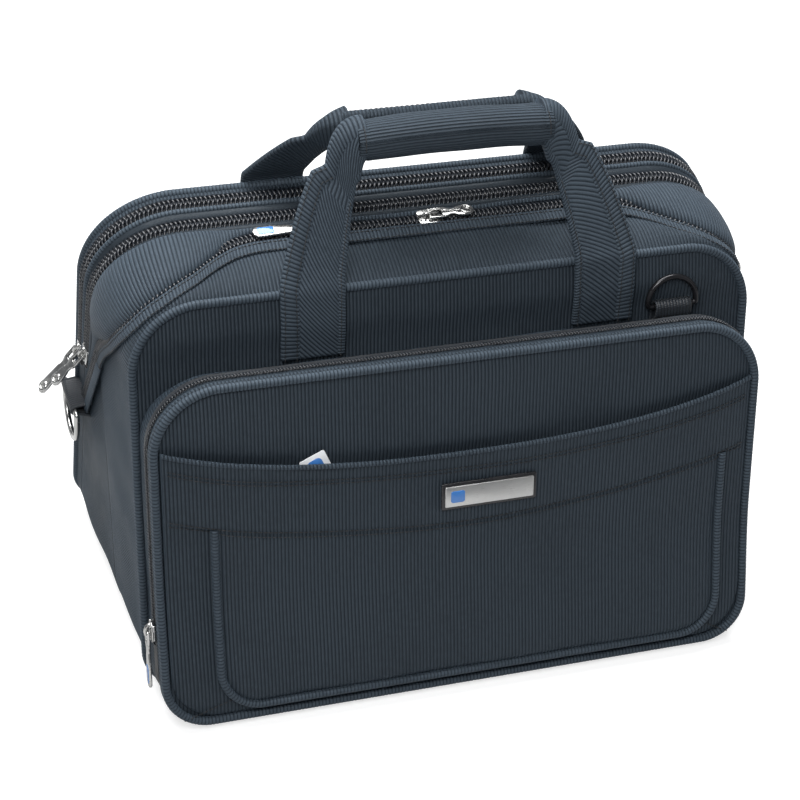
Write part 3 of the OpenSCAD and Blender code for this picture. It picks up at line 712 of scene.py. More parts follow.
def wear_group():
    """Fine scratches and handling haze on plated metal."""
    f, v = "NodeSocketFloat", "NodeSocketVector"
    tree, gin, gout = new_group("Handled metal", [("Place", v, None), ("Scale", f, 300.0), ("Low", f, 0.14),
                                                  ("High", f, 0.32)], [("Roughness", f), ("Height", f)])
    w = Wires(tree)
    stretch = w.node("ShaderNodeMapping")
    w.put(stretch.inputs["Vector"], gin.outputs["Place"])
    stretch.inputs["Scale"].default_value = (1.0, 0.12, 0.4)
    grain = w.noise(stretch.outputs[0], 1400.0, 3.0, 0.6)
    haze = w.noise(gin.outputs["Place"], 120.0, 3.0, 0.6)
    w.put(gout.inputs["Roughness"], w.remap(haze, 0.3, 0.7, gin.outputs["Low"], gin.outputs["High"]))
    w.put(gout.inputs["Height"], grain)
    return tree


def shader(name):
    material = bpy.data.materials.new(name)
    material.use_nodes = True
    material.node_tree.nodes.clear()
    w = Wires(material.node_tree)
    out = w.node("ShaderNodeOutputMaterial")
    bsdf = w.node("ShaderNodeBsdfPrincipled")
    w.put(out.inputs["Surface"], bsdf.outputs[0])
    uv = w.node("ShaderNodeUVMap", uv_map="cloth")
    place = w.node("ShaderNodeTexCoord")
    return material, w, bsdf, uv.outputs[0], place.outputs["Object"]


def put_bump(w, bsdf, height, distance):
    bump = w.node("ShaderNodeBump")
    bump.inputs["Distance"].default_value = distance
    bump.inputs["Strength"].default_value = 1.0
    w.put(bump.inputs["Height"], height)
    w.put(bsdf.inputs["Normal"], bump.outputs[0])


MATERIALS = {}
GROUPS = {}


def cloth_material(name, tone=1.0, pitch=None, depth=1.0, bump=0.6 * MM, sheen=0.10, coat=0.0):
    if not GROUPS:
        GROUPS.update(rib=ribbed_group(), weave=woven_group(), wear=wear_group())
    cloth = settings("cloth")
    material, w, bsdf, uv, place = shader(name)
    group = w.node("ShaderNodeGroup", node_tree=GROUPS["rib"])
    w.put(group.inputs["Cloth"], uv)
    w.put(group.inputs["Place"], place)
    group.inputs["Pitch"].default_value = pitch or cloth.rib_pitch
    group.inputs["Ridge"].default_value = [k * tone for k in cloth.ridge[:3]] + [1]
    group.inputs["Groove Shade"].default_value = [k * tone for k in cloth.groove_shade[:3]] + [1]
    group.inputs["Depth"].default_value = depth
    w.put(bsdf.inputs["Base Color"], group.outputs["Color"])
    w.put(bsdf.inputs["Roughness"], group.outputs["Roughness"])
    bsdf.inputs["Sheen Weight"].default_value = sheen
    bsdf.inputs["Sheen Roughness"].default_value = 0.45
    bsdf.inputs["Sheen Tint"].default_value = (0.55, 0.76, 1.0, 1)
    bsdf.inputs["Specular IOR Level"].default_value = 0.26
    bsdf.inputs["Specular Tint"].default_value = (0.72, 0.86, 1.0, 1)
    bsdf.inputs["Coat Weight"].default_value = coat
    put_bump(w, bsdf, group.outputs["Height"], bump)
    MATERIALS[name] = material
    return material


def tape_material(name, thread, gap, along=0.8 * MM, across=1.5 * MM, bump=0.2 * MM):
    material, w, bsdf, uv, place = shader(name)
    group = w.node("ShaderNodeGroup", node_tree=GROUPS["weave"])
    w.put(group.inputs["Cloth"], uv)
    w.put(group.inputs["Place"], place)
    group.inputs["Along"].default_value = along
    group.inputs["Across"].default_value = across
    group.inputs["Thread"].default_value = thread
    group.inputs["Gap"].default_value = gap
    w.put(bsdf.inputs["Base Color"], group.outputs["Color"])
    w.put(bsdf.inputs["Roughness"], group.outputs["Roughness"])
    bsdf.inputs["Specular IOR Level"].default_value = 0.5
    bsdf.inputs["Sheen Weight"].default_value = 0.06
    put_bump(w, bsdf, group.outputs["Height"], bump)
    MATERIALS[name] = material
    return material


def plain_material(name, colour, rough, metallic=0.0, wear=True, bump=0.03 * MM, coat=0.0):
    material, w, bsdf, _, place = shader(name)
    group = w.node("ShaderNodeGroup", node_tree=GROUPS["wear"])
    w.put(group.inputs["Place"], place)
    group.inputs["Low"].default_value = max(rough - 0.07, 0.03)
    group.inputs["High"].default_value = rough + 0.07
    tone = w.noise(place, 60.0, 3.0, 0.6)
    dark = [k * 0.82 for k in colour[:3]] + [1]
    w.put(bsdf.inputs["Base Color"], w.mix(w.remap(tone, 0.3, 0.65, 0.0, 1.0), dark, list(colour)))
    w.put(bsdf.inputs["Roughness"], group.outputs["Roughness"])
    bsdf.inputs["Metallic"].default_value = metallic
    bsdf.inputs["Coat Weight"].default_value = coat
    bsdf.inputs["Coat Roughness"].default_value = 0.08
    if wear:
        put_bump(w, bsdf, group.outputs["Height"], bump)
    MATERIALS[name] = material
    return material


def brushed_material(name, colour):
    """Plate brushed along its length."""
    material, w, bsdf, uv, place = shader(name)
    stretch = w.node("ShaderNodeMapping")
    w.put(stretch.inputs["Vector"], uv)
    stretch.inputs["Scale"].default_value = (0.03, 1.0, 1.0)
    line = w.noise(stretch.outputs[0], 5200.0, 3.0, 0.7)
    haze = w.noise(place, 90.0, 2.0)
    w.put(bsdf.inputs["Base Color"], w.mix(line, [k * 0.7 for k in colour[:3]] + [1], list(colour)))
    w.put(bsdf.inputs["Roughness"], w.math("ADD", w.remap(line, 0.3, 0.7, 0.22, 0.36),
                                           w.math("MULTIPLY", haze, 0.1)))
    bsdf.inputs["Metallic"].default_value = 1.0
    put_bump(w, bsdf, line, 0.04 * MM)
    MATERIALS[name] = material
    return material


def build_materials():
    metal, zips = settings("metal"), settings("zips")
    cloth_material("ribbed_cloth")
    cloth_material("ribbed_cloth_side", tone=1.0)
    # lit copy of the ribbed cloth: painted light for the top bands, hems and front straps that face the lamps
    cloth_material("ribbed_cloth_painted_lit", tone=1.45)
    # shaded copy of the ribbed cloth: painted shade for the sides and the pocket's gusset
    cloth_material("ribbed_cloth_painted_shade", tone=0.62)
    # piping cloth lightened as a painted highlight on the cords
    cloth_material("ribbed_piping_painted_highlight", tone=1.55, depth=0.8, bump=0.3 * MM)
    cloth_material("smooth_cloth", tone=0.5, pitch=0.8 * MM, depth=0.35, bump=0.2 * MM, coat=0.05)
    cloth_material("lining_cloth", tone=0.9, pitch=1.2 * MM, depth=0.3, bump=0.2 * MM, sheen=0.05)
    tape_material("zip_tape", (0.014, 0.018, 0.024, 1), (0.003, 0.004, 0.006, 1))
    tape_material("webbing", (0.020, 0.026, 0.034, 1), (0.003, 0.004, 0.006, 1), along=1.2 * MM,
                  across=2.2 * MM,
                  bump=0.4 * MM)
    tape_material("thread", (0.012, 0.014, 0.017, 1), (0.005, 0.005, 0.006, 1), along=0.5 * MM,
                  across=0.4 * MM,
                  bump=0.05 * MM)
    plain_material("zip_coil", zips.colour, 0.32, wear=True, bump=0.02 * MM, coat=0.15)
    plain_material("nickel", metal.nickel, 0.22, metallic=1.0)
    plain_material("black_metal", (0.018, 0.018, 0.021, 1), 0.28, metallic=0.6, coat=0.3)
    plain_material("black_plastic", (0.012, 0.012, 0.014, 1), 0.3, coat=0.25)
    plain_material("enamel", metal.enamel, 0.18, coat=0.7, wear=False)
    plain_material("card", (0.78, 0.80, 0.82, 1), 0.5, wear=True, bump=0.02 * MM)
    plain_material("stiff_board", (0.035, 0.036, 0.04, 1), 0.6)
    brushed_material("brushed_plate", (0.70, 0.70, 0.69, 1))


def mat(name):
    return MATERIALS[name]


# ---------------------------------------------------------------- repeated pieces by Geometry Nodes
def repeat_tree():
    """Small bent bars set at marked points: coil turns and stitches."""
    if "Repeated bars" in bpy.data.node_groups:
        return bpy.data.node_groups["Repeated bars"]
    tree = bpy.data.node_groups.new("Repeated bars", "GeometryNodeTree")
    tree.is_modifier = True
    face = tree.interface
    face.new_socket("Geometry", in_out="OUTPUT", socket_type="NodeSocketGeometry")
    for label, kind in (("Geometry", "Geometry"), ("Start", "Vector"), ("Middle", "Vector"),
                        ("End", "Vector"),
                        ("Wire Radius", "Float"), ("Sides", "Int"), ("Bend Steps", "Int"), ("Unevenness",
                                                                                            "Float"),
                        ("Seed", "Int"), ("Material", "Material")):
        face.new_socket(label, in_out="INPUT", socket_type="NodeSocket" + kind)
    new, link = tree.nodes.new, tree.links.new
    gin, gout = new("NodeGroupInput"), new("NodeGroupOutput")
    bend, ring, bar = (new("GeometryNodeCurveQuadraticBezier"), new("GeometryNodeCurvePrimitiveCircle"),
                       new("GeometryNodeCurveToMesh"))
    for label in ("Start", "Middle", "End"):
        link(gin.outputs[label], bend.inputs[label])
    link(gin.outputs["Bend Steps"], bend.inputs["Resolution"])
    link(gin.outputs["Sides"], ring.inputs["Resolution"])
    link(gin.outputs["Wire Radius"], ring.inputs["Radius"])
    link(bend.outputs[0], bar.inputs["Curve"])
    link(ring.outputs["Curve"], bar.inputs["Profile Curve"])
    bar.inputs["Fill Caps"].default_value = True
    soft = new("GeometryNodeSetShadeSmooth")
    link(bar.outputs[0], soft.inputs["Geometry"])
    along, up = new("GeometryNodeInputNamedAttribute"), new("GeometryNodeInputNamedAttribute")
    for node, label in ((along, "along"), (up, "up")):
        node.data_type = "FLOAT_VECTOR"
        node.inputs["Name"].default_value = label
    turn = new("FunctionNodeAxesToRotation")
    turn.primary_axis, turn.secondary_axis = "Z", "X"
    link(up.outputs["Attribute"], turn.inputs["Primary Axis"])
    link(along.outputs["Attribute"], turn.inputs["Secondary Axis"])
    jitter = new("FunctionNodeRandomValue")
    jitter.data_type = "FLOAT"
    low, high = new("ShaderNodeMath"), new("ShaderNodeMath")
    low.operation, high.operation = "SUBTRACT", "ADD"
    low.inputs[0].default_value = high.inputs[0].default_value = 1.0
    link(gin.outputs["Unevenness"], low.inputs[1])
    link(gin.outputs["Unevenness"], high.inputs[1])
    link(low.outputs[0], jitter.inputs[2])
    link(high.outputs[0], jitter.inputs[3])
    link(gin.outputs["Seed"], jitter.inputs["Seed"])
    points, place = new("GeometryNodeMeshToPoints"), new("GeometryNodeInstanceOnPoints")
    link(gin.outputs["Geometry"], points.inputs["Mesh"])
    link(points.outputs[0], place.inputs["Points"])
    link(soft.outputs[0], place.inputs["Instance"])
    link(turn.outputs[0], place.inputs["Rotation"])
    link(jitter.outputs[1], place.inputs["Scale"])
    real, paint = new("GeometryNodeRealizeInstances"), new("GeometryNodeSetMaterial")
    link(place.outputs[0], real.inputs[0])
    link(real.outputs[0], paint.inputs["Geometry"])
    link(gin.outputs["Material"], paint.inputs["Material"])
    link(paint.outputs[0], gout.inputs[0])
    return tree


def repeat(name, rows, body, material, start, middle, end, wire, sides=6, steps=4, uneven=0.0, seed=1):
    """One mesh of bent bars at rows of (points, along, up)."""
    points = np.concatenate([r[0] for r in rows])
    along = np.concatenate([r[1] for r in rows])
    up = np.concatenate([r[2] for r in rows])
    mesh = bpy.data.meshes.new(name + "_marks")
    mesh.from_pydata(points.tolist(), [], [])
    for label, values in (("along", along), ("up", up)):
        layer = mesh.attributes.new(label, "FLOAT_VECTOR", "POINT")
        layer.data.foreach_set("vector", np.asarray(values, np.float32).ravel())
    marks = bpy.data.objects.new(name + "_marks", mesh)
    bpy.context.scene.collection.objects.link(marks)
    tree = repeat_tree()
    modifier = marks.modifiers.new("bars", "NODES")
    modifier.node_group = tree
    sockets = {s.name: s.identifier for s in tree.interface.items_tree if s.in_out == "INPUT"}
    for label, value in (("Start", start), ("Middle", middle), ("End", end), ("Wire Radius", wire),
                         ("Sides", sides), ("Bend Steps", steps), ("Unevenness", uneven), ("Seed", seed),
                         ("Material", material)):
        modifier[sockets[label]] = value
    graph = bpy.context.evaluated_depsgraph_get()
    result = bpy.data.meshes.new_from_object(marks.evaluated_get(graph), depsgraph=graph)
    marks.modifiers.remove(modifier)
    bpy.data.objects.remove(marks)
    result.name = name
    for label in [a.name for a in result.attributes if a.name in ("along", "up")]:
        result.attributes.remove(result.attributes[label])
    if not result.uv_layers:
        result.uv_layers.new(name="cloth")
    result.materials.clear()
    result.materials.append(material)
    obj = bpy.data.objects.new(name, result)
    bpy.context.scene.collection.objects.link(obj)
    if body:
        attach(obj, body)
    return obj


def coil_half(name, path, up, sign, body, pitch=None, reach=None, wire=None, seed=1):
    """One half of a chain: the turns reach to the back for +1 and to the front for -1."""
    zips = settings("zips")
    pitch, reach, wire = pitch or zips.pitch, reach or zips.reach, wire or zips.wire
    path, up = resample(path, pitch, up)
    if sign > 0:
        path = (path[:-1] + path[1:]) / 2
        up = unit(up[:-1] + up[1:])
    tangent, _, top = path_frames(path, up)
    row = (path, -tangent * sign, top)
    # x of the mark runs along the chain, so the turns lie along its y; both halves slant the same way
    slant = pitch * sign
    return repeat(name, [row], body, mat("zip_coil"), (-slant * 0.2, 0.5 * MM, 0.0),
                  (slant * 0.1, -reach * 0.5, wire * 2.4), (slant * 0.4, -reach,
                                                            -wire * 0.3), wire, 6, 5, 0.02, seed)


def stitch_rows(path, up):
    path, up = resample(path, settings("stitches").pitch, up)
    tangent, _, top = path_frames(path, up)
    return path, tangent, top


def stitches(name, rows, body):
    thread = settings("stitches")
    half = thread.length / 2
    return repeat(name, rows, body, mat("thread"), (-half, 0, -0.1 * MM), (0, 0, 0.75 * MM),
                  (half, 0, -0.1 * MM), thread.thread, 5, 3, 0.06, 3)


# ---------------------------------------------------------------- piping
def piping_data(path, up, radius, closed=False, step=0.75 * MM):
    """A covered cord whose ribs stand out along its length."""
    pitch = settings("cloth").rib_pitch
    if closed:
        path = np.concatenate([path, path[:1]])
        up = np.concatenate([up, up[:1]])
    path, up = resample(path, step, up)
    run = arc_length(path)
    turns = max(1, round(run[-1] / pitch))
    wave = np.abs(np.cos(run / run[-1] * turns * math.pi))
    ribs = radius * (1.0 - 0.13 * (1 - np.sqrt(np.clip(wave, 0, 1))))
    if closed:
        path, up, ribs = path[:-1], up[:-1], ribs[:-1]
    v, f, uv = tube_data(path, up, ribs, 8, closed)
    scale = turns * pitch / run[-1]
    uv[:, 0] = uv[:, 0] * scale + pitch / 2
    return v, f, uv


def piping(name, path, up, radius, body, closed=False):
    v, f, uv = piping_data(path, up, radius, closed)
    # the cord's cloth is lightened all over as a painted highlight
    return add_mesh(name, v, f, mat("ribbed_piping_painted_highlight"), body, "ribbed_nylon", uv)


# ---------------------------------------------------------------- operators: the bag's sides and top
def side_stations(low, high):
    """Station numbers of the left and right sides between two heights."""
    z = SHELL_FRONT[:, 2]
    half = len(STATIONS) // 2
    left = STATIONS[(STATIONS <= half) & (z >= low) & (z <= high)]
    right = STATIONS[(STATIONS > half) & (z >= low) & (z <= high)]
    left = left[left > SEGMENTS[0] - 1]
    right = right[right < len(STATIONS) - SEGMENTS[-1]]
    return left, right


def level_lift(low, crown=0.0):
    """Height of a band's cloth off the shell: even, with a crown across it."""
    return lambda share, run, across, base: low + np.sin(math.pi * share) * crown + 0 * across


def beside(s, t, near, far, cols, lift):
    """A band beside a zip line, between two distances behind it."""
    return band(s, depth_share(s, t[s], near), depth_share(s, t[s], far), cols, lift)


TAPE = 5.2 * MM
UPRIGHT = np.clip((SHELL_FRONT[:, 2] - 0.22) / 0.05, 0, 1)


class FLIGHTBAG_OT_sides(bpy.types.Operator):
    """Builds the gussets of the bag's sides and the foot"""
    bl_idname = "flightbag.sides"
    bl_label = "Sides and foot"

    def execute(self, context):
        edge = depth_share(STATIONS, T_A, -TAPE - 4 * MM)
        t1 = np.minimum(T_MIDDLE, edge)
        s = STATIONS[SEGMENTS[0] + 3:len(STATIONS) - SEGMENTS[-1] - 3]
        top = UPRIGHT[s][:, None]

        def puff(share, run, across, base):
            soft = np.sin(math.pi * np.clip(share, 0, 1)) ** 0.7
            sag = ripple(run, across * 1.6, 5, 0.16) * 1.5 * MM + ripple(run, across, 8, 0.06) * 0.5 * MM
            return soft * (top * 3.4 * MM - (1 - top) * 1.0 * MM) + sag * soft

        grid, uv = band(s, np.full(len(s), 0.004), t1[s], 34, puff)
        gusset = shell("front_gusset_cloth", grid, uv, WALL, mat("ribbed_cloth_side"), None)
        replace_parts(gusset, "front_gusset")
        blend_front(gusset)

        for label, st in zip(("left", "right"), side_stations(3 * MM, 186 * MM)):
            t1 = np.minimum(T_C[st], T_STRIP[st])

            def hollow(share, run, across, base):
                z = base[..., 2]
                under = smooth_step((z - 0.118) / 0.02) * smooth_step((base[..., 1] - 0.012) / 0.02)
                wave = ripple(z, base[..., 1], 21, 0.09) * 1.3 * MM * np.sin(math.pi * np.clip(share, 0, 1))
                return wave - 1.6 * MM * under

            grid, uv = band(st, T_MIDDLE[st], t1, 22, hollow)
            # the side gusset takes the cloth darkened as painted shade
            piece = shell(f"side_gusset_{label}_cloth", grid, uv, WALL, mat("ribbed_cloth_painted_shade"), None)
            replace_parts(piece, f"lower_gusset_{label}")
            blend_middle(piece)
        inward = np.array([-math.cos(REAR_LEAN), -math.sin(REAR_LEAN)])
        on_rear = np.array([rear_y(80 * MM), 80 * MM])
        for label, st in zip(("left", "right"), side_stations(3 * MM, 159 * MM)):
            grid, uv = band(st, T_STRIP[st], np.full(len(st), 0.999), 8, level_lift(0.0))
            # the rear side strip takes the cloth darkened as painted shade
            piece = shell(f"side_rear_{label}_cloth", grid, uv, WALL, mat("ribbed_cloth_painted_shade"), None)
            blend_across(piece, "core", "back_shell", on_rear + 16.6 * MM * inward, on_rear + 3 * MM * inward)
        # foot: the stitched bottom panel with its upturned edge
        n = len(STATIONS)
        right = STATIONS[(SHELL_FRONT[:, 2] < 9.5 * MM) & (STATIONS > n // 2)][:-1]
        left = STATIONS[(SHELL_FRONT[:, 2] < 9.5 * MM) & (STATIONS < n // 2)]
        order = np.concatenate([right, left])
        grid, uv = band(order, np.full(len(order), 0.03), np.full(len(order), 0.985), 30,
                        level_lift(0.9 * MM))
        foot = shell("bottom_panel_cloth", grid, uv, WALL, mat("smooth_cloth"), "core")
        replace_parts(foot, "bottom_panel")
        return {"FINISHED"}


class FLIGHTBAG_OT_bands(bpy.types.Operator):
    """Builds the cloth bands between the three zips and their folded hems"""
    bl_idname = "flightbag.bands"
    bl_label = "Bands between the zips"

    def execute(self, context):
        # wedge between the front and the middle zip, in the cloth lightened as painted light where the top
        # faces the lamps
        s = above(T_A, ZIP_A_END + 1 * MM)
        rear_line = [(LINE_A[0][0] - 0.5 * MM, ZIP_A_END), LINE_B[0], LINE_B[1], LINE_B[2]]
        t1 = np.maximum(crossing(rear_line), T_A)
        b_on = above(T_B, ZIP_B_END)
        t1[b_on] = depth_share(b_on, T_B[b_on], -TAPE - 3 * MM)
        # round the top corners the cloth folds forward over the zip
        cover = np.clip(-SWEEP[s] / 0.12, 0, 1)[:, None]
        t0 = depth_share(s, T_A[s], (TAPE + 0.5 * MM) * (1 - cover[:, 0]) - 3.2 * MM * cover[:, 0])
        t1s = np.maximum(t1[s], t0 + 0.002)

        def flat(share, run, across, base):
            puff = np.sin(math.pi * np.clip(share, 0, 1)) ** 0.7 * (1.6 * MM + 2.6 * MM * cover)
            rise = cover * 2.6 * MM * np.sqrt(np.clip(share / 0.12, 0, 1))
            crease = ripple(run, across, 33, 0.08) * 0.6 * MM
            return 1.0 * MM + puff + rise + crease

        grid, uv = band(s, t0, t1s, 22, flat)
        wedge = shell("wedge_cloth", grid, uv, WALL, mat("ribbed_cloth_painted_lit"), None)
        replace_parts(wedge, "wedge_gusset")
        blend_middle(wedge)
        # folded hem of the front band beside the front zip, in the cloth lightened as painted light
        s = above(T_A, ZIP_A_END + 4 * MM)
        upper = s[T_A[s] < T_MIDDLE[s]]
        lower = s[T_A[s] >= T_MIDDLE[s]]
        fold = lambda share, run, across, base: (
            2.6 * MM + np.sqrt(np.clip(np.sin(math.pi * np.clip(share * 0.9 + 0.08, 0, 1)), 0, 1)) * 1.2 * MM)
        grid, uv = beside(upper, T_A, -TAPE - 9 * MM, -TAPE + 1.2 * MM, 9, fold)
        blend_front(shell("front_band_hem", grid, uv, 1.2 * MM, mat("ribbed_cloth_painted_lit"), None))
        rows = []
        for inward in (8.6 * MM, 1.6 * MM):
            path, up = on_shell(upper, depth_share(upper, T_A[upper], -TAPE - inward), 3.7 * MM)
            rows.append(stitch_rows(path, up))
        blend_front(stitches("front_band_hem_stitches", rows, None))
        middle = len(STATIONS) // 2
        for label, part in (("left", lower[lower < middle]), ("right", lower[lower > middle])):
            if len(part) > 2:
                grid, uv = beside(part, T_A, -TAPE - 9 * MM, -TAPE + 1.2 * MM, 9, fold)
                blend_middle(shell(f"front_band_hem_{label}", grid, uv, 1.2 * MM, mat("ribbed_cloth_painted_lit"),
                                   None))
        # smooth strip in front of the middle zip
        s = above(T_B, ZIP_B_END)
        grid, uv = beside(s, T_B, -TAPE - 4.2 * MM, -TAPE + 1.0 * MM, 6, level_lift(1.1 * MM, 0.9 * MM))
        blend_middle(shell("middle_band_hem", grid, uv, 1.2 * MM, mat("smooth_cloth"), None))
        # centre band between the middle and rear zips
        s = above(T_B, ZIP_B_END + 1 * MM)
        grid, uv = band(s, depth_share(s, T_B[s], TAPE), depth_share(s, T_C[s], -TAPE), 8,
                        level_lift(0.6 * MM, 1.2 * MM))
        centre = shell("centre_band_cloth", grid, uv, WALL, mat("smooth_cloth"), "core")
        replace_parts(centre, "centre_band")
        path, up = on_shell(s, depth_share(s, T_C[s], -TAPE - 2.4 * MM), 1.4 * MM)
        piping("centre_band_cord", path, up, 2.1 * MM, "core")
        # narrow rear band between the rear zip and the rear piping
        s = above(T_C, ZIP_C_END + 1 * MM)
        grid, uv = band(s, depth_share(s, T_C[s], TAPE), np.full(len(s), 0.999), 6, level_lift(0.4 * MM))
        rear = shell("rear_gusset_cloth", grid, uv, WALL, mat("ribbed_cloth_side"), "back_shell")
        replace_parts(rear, "rear_gusset")
        return {"FINISHED"}


def panel_grid(width, low, high, radii, cols, rows):
    """A rounded panel as columns of x and rows of v, with the distance of each point to the edge."""
    half = width / 2
    share = (1 - np.cos(np.linspace(0, 1, rows) * math.pi)) / 2
    share = 0.5 * share + 0.5 * np.linspace(0, 1, rows)
    v = low + (high - low) * share
    r0, r1 = radii
    reach = np.full(rows, half)
    under = v < low + r0
    reach[under] = half - r0 + np.sqrt(np.clip(r0 ** 2 - (low + r0 - v[under]) ** 2, 0, None))
    over = v > high - r1
    reach[over] = half - r1 + np.sqrt(np.clip(r1 ** 2 - (v[over] - high + r1) ** 2, 0, None))
    a = np.sin(np.linspace(-1, 1, cols) * math.pi / 2) * 0.25 + np.linspace(-1, 1, cols) * 0.75
    x = a[:, None] * reach[None, :]
    v = np.repeat(v[None, :], cols, 0)
    r = np.where(v > (low + high) / 2, r1, r0)
    qx = np.abs(x) - (half - r)
    qv = np.abs(v - (low + high) / 2) - ((high - low) / 2 - r)
    edge = -(np.hypot(np.maximum(qx, 0), np.maximum(qv, 0)) + np.minimum(np.maximum(qx, qv), 0) - r)
    return x, v, edge


class FLIGHTBAG_OT_panels(bpy.types.Operator):
    """Builds the crowned front and rear panels"""
    bl_idname = "flightbag.panels"
    bl_label = "Front and rear panels"

    def execute(self, context):
        x, v, edge = panel_grid(FRONT_W - 2 * MM, 1 * MM, FRONT_H - 1 * MM, FRONT_R, 96, 84)
        crown = 1 - np.exp(-np.clip(edge, 0, None) / (16 * MM))
        high = smooth_step((v - 0.235) / 0.02)
        off = crown * (0.3 + 3.2 * high) * MM + ripple(x, v, 41, 0.12) * crown * 0.9 * MM * high
        grid = front_at(x, v, off - 0.2 * MM)
        panel = shell("front_panel_cloth", grid, np.stack([x, v], -1), BOARD, mat("ribbed_cloth"),
                      "front_shell")
        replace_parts(panel, "front_panel")
        x, v, edge = panel_grid(REAR_W - 2 * MM, 1 * MM, REAR_H - 1 * MM, REAR_R, 96, 84)
        crown = 1 - np.exp(-np.clip(edge, 0, None) / (22 * MM))
        off = crown * 4.0 * MM + ripple(x, v, 43, 0.14) * crown * 1.0 * MM
        grid = rear_at(x, v, off - 0.4 * MM)
        panel = shell("rear_panel_cloth", grid, np.stack([x, v], -1), BOARD, mat("ribbed_cloth"),
                      "back_shell",
                      flip=True)
        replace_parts(panel, "rear_panel")
        return {"FINISHED"}


def edge_path(at, width, high, radii, low=0.0, inset=0.0, off=0.0):
    x, v, nx, nv = outline(width, high, radii, low, inset, tuple(k * 2 for k in SEGMENTS))
    return at(x, v, off)[:-1], at(nx, nv, 0)[:-1] - at(0, 0, 0)


class FLIGHTBAG_OT_piping(bpy.types.Operator):
    """Builds the ribbed piping round the front and rear panels"""
    bl_idname = "flightbag.piping"
    bl_label = "Piping"

    def execute(self, context):
        for side, at, width, high, radii, body in (
                ("front", front_at, FRONT_W, FRONT_H, FRONT_R, "front_shell"),
                ("rear", rear_at, REAR_W, REAR_H, REAR_R, "back_shell")):
            path, up = edge_path(at, width, high, radii, 2.5 * MM, 0.6 * MM, 0.3 * MM)
            cord = piping(side + "_piping_cord", path, up, settings("cloth").piping_radius, body, True)
            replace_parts(cord, side + "_piping")
        return {"FINISHED"}


class FLIGHTBAG_OT_zips(bpy.types.Operator):
    """Builds the coils and tapes of the three zips over the top"""
    bl_idname = "flightbag.zips"
    bl_label = "Zips over the top"

    def execute(self, context):
        wide, gap = TAPE + 2.5 * MM, 0.05 * MM
        # for each zip: what its rear and its front half hold on to, a body or a blend
        for key, t, low, rear_hold, front_hold, seed in (
                ("a", T_A, ZIP_A_END, blend_middle, blend_front, 11), ("b", T_B, ZIP_B_END, "core",
                                                                       blend_middle, 14),
                ("c", T_C, ZIP_C_END, "back_shell", "core", 16)):
            s = above(t, low)
            path, up = on_shell(s, t[s], np.full(len(s), 1.3 * MM))
            flat_path, _ = on_shell(s, t[s], np.full(len(s), 0.25 * MM))
            _, across, _ = path_frames(flat_path, up)
            run = arc_length(flat_path)

            def zip_half(half, tail, rows, sign, hold, number):
                a, b = (gap, wide) if sign > 0 else (-wide, -gap)
                body, share = None if callable(hold) else hold, np.linspace(a, b, 4)
                grid = flat_path[rows, None, :] + across[rows, None, :] * share[None, :, None]
                uv = np.stack([np.repeat(run[rows][:, None], 4, 1), np.repeat(share[None, :], len(rows), 0)],
                              -1)
                tape = shell(f"zip_{key}_{half}_tape{tail}", grid, uv, 0.6 * MM, mat("zip_tape"), body,
                             "zip_coil")
                coil = coil_half(f"zip_{key}_{half}_coil{tail}", path[rows], up[rows], sign, body,
                                 seed=number)
                if not tail:
                    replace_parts(coil, f"zip_{key}_{half}_half")
                if callable(hold):
                    hold(tape)
                    hold(coil)

            rows = np.arange(len(s))
            zip_half("rear", "", rows, 1, rear_hold, seed)
            if key != "a":
                zip_half("front", "", rows, -1, front_hold, seed + 1)
                continue
            # below the fold the front half of the front zip moves with the middle compartment
            upper = rows[t[s] < T_MIDDLE[s] + 0.004]
            zip_half("front", "", upper, -1, front_hold, seed + 1)
            for tail, part in (("_left", rows[rows <= upper[0]]), ("_right", rows[rows >= upper[-1]])):
                if len(part) > 2:
                    zip_half("front", tail, part, -1, blend_middle, seed + 2)
        return {"FINISHED"}


# ---------------------------------------------------------------- operators: the front pocket
def pocket_path(inset=0.0, fine=1):
    x, v, nx, nv = outline(POCKET_W, POCKET_TOP, POCKET_R, POCKET_LOW, inset,
                           tuple(k * fine for k in SEGMENTS))
    return x[:-1], v[:-1], nx[:-1], nv[:-1]


def blend_pocket(obj):
    """Cloth of the pocket's front bends where it is sewn down."""
    obj.parent = None
    a, b = front_at(0, FOLD_V - 9 * MM, POCKET_D), front_at(0, FOLD_V + 12 * MM, POCKET_D)
    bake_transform(obj, "front_shell", "pocket_flap", tuple(a), tuple(b))


def pocket_band(name, off0, off1, cols, lift, thickness, material, inset=0.0, slot="ribbed_nylon", drop=0.0):
    """A strip round the pocket's edge between two heights off the front panel."""
    x, v, nx, nv = pocket_path(inset, 2)
    share = np.linspace(0, 1, cols)
    run = arc_length(np.stack([x, v], -1))
    height = lift(share[None, :], run[:, None]) - drop * (1 - share[None, :]) * np.clip(nv, 0, 1)[:,
                                                                                                  None] ** 2
    deep = off0 + (off1 - off0) * share[None, :]
    grid = front_at(x[:, None] + nx[:, None] * height, v[:, None] + nv[:, None] * height,
                    deep + sag(v)[:, None] * np.clip(deep / POCKET_D, 0, 1) ** 2)
    uv = np.stack([np.repeat(run[:, None], cols, 1), np.repeat(share[None, :] * (off1 - off0), len(run), 0)],
                  -1)
    grid = np.concatenate([grid, grid[:1]])
    uv = np.concatenate([uv, uv[:1] + [[run[-1], 0]]])
    return shell(name, grid, uv, thickness, material, None, slot, flip=True)


def sag(v):
    """How far the stuffed pocket's foot hangs forward of its board."""
    return 8.0 * MM * smooth_step((105 * MM - np.asarray(v, float)) / (105 * MM))


def slip_top(x):
    return SLIP_TOP + SLIP_RISE * (np.abs(x) / (SLIP_HALF)) ** 2.4


def slip_seam(x):
    return SEAM_V + SEAM_RISE * (np.abs(x) / (SLIP_HALF)) ** 2


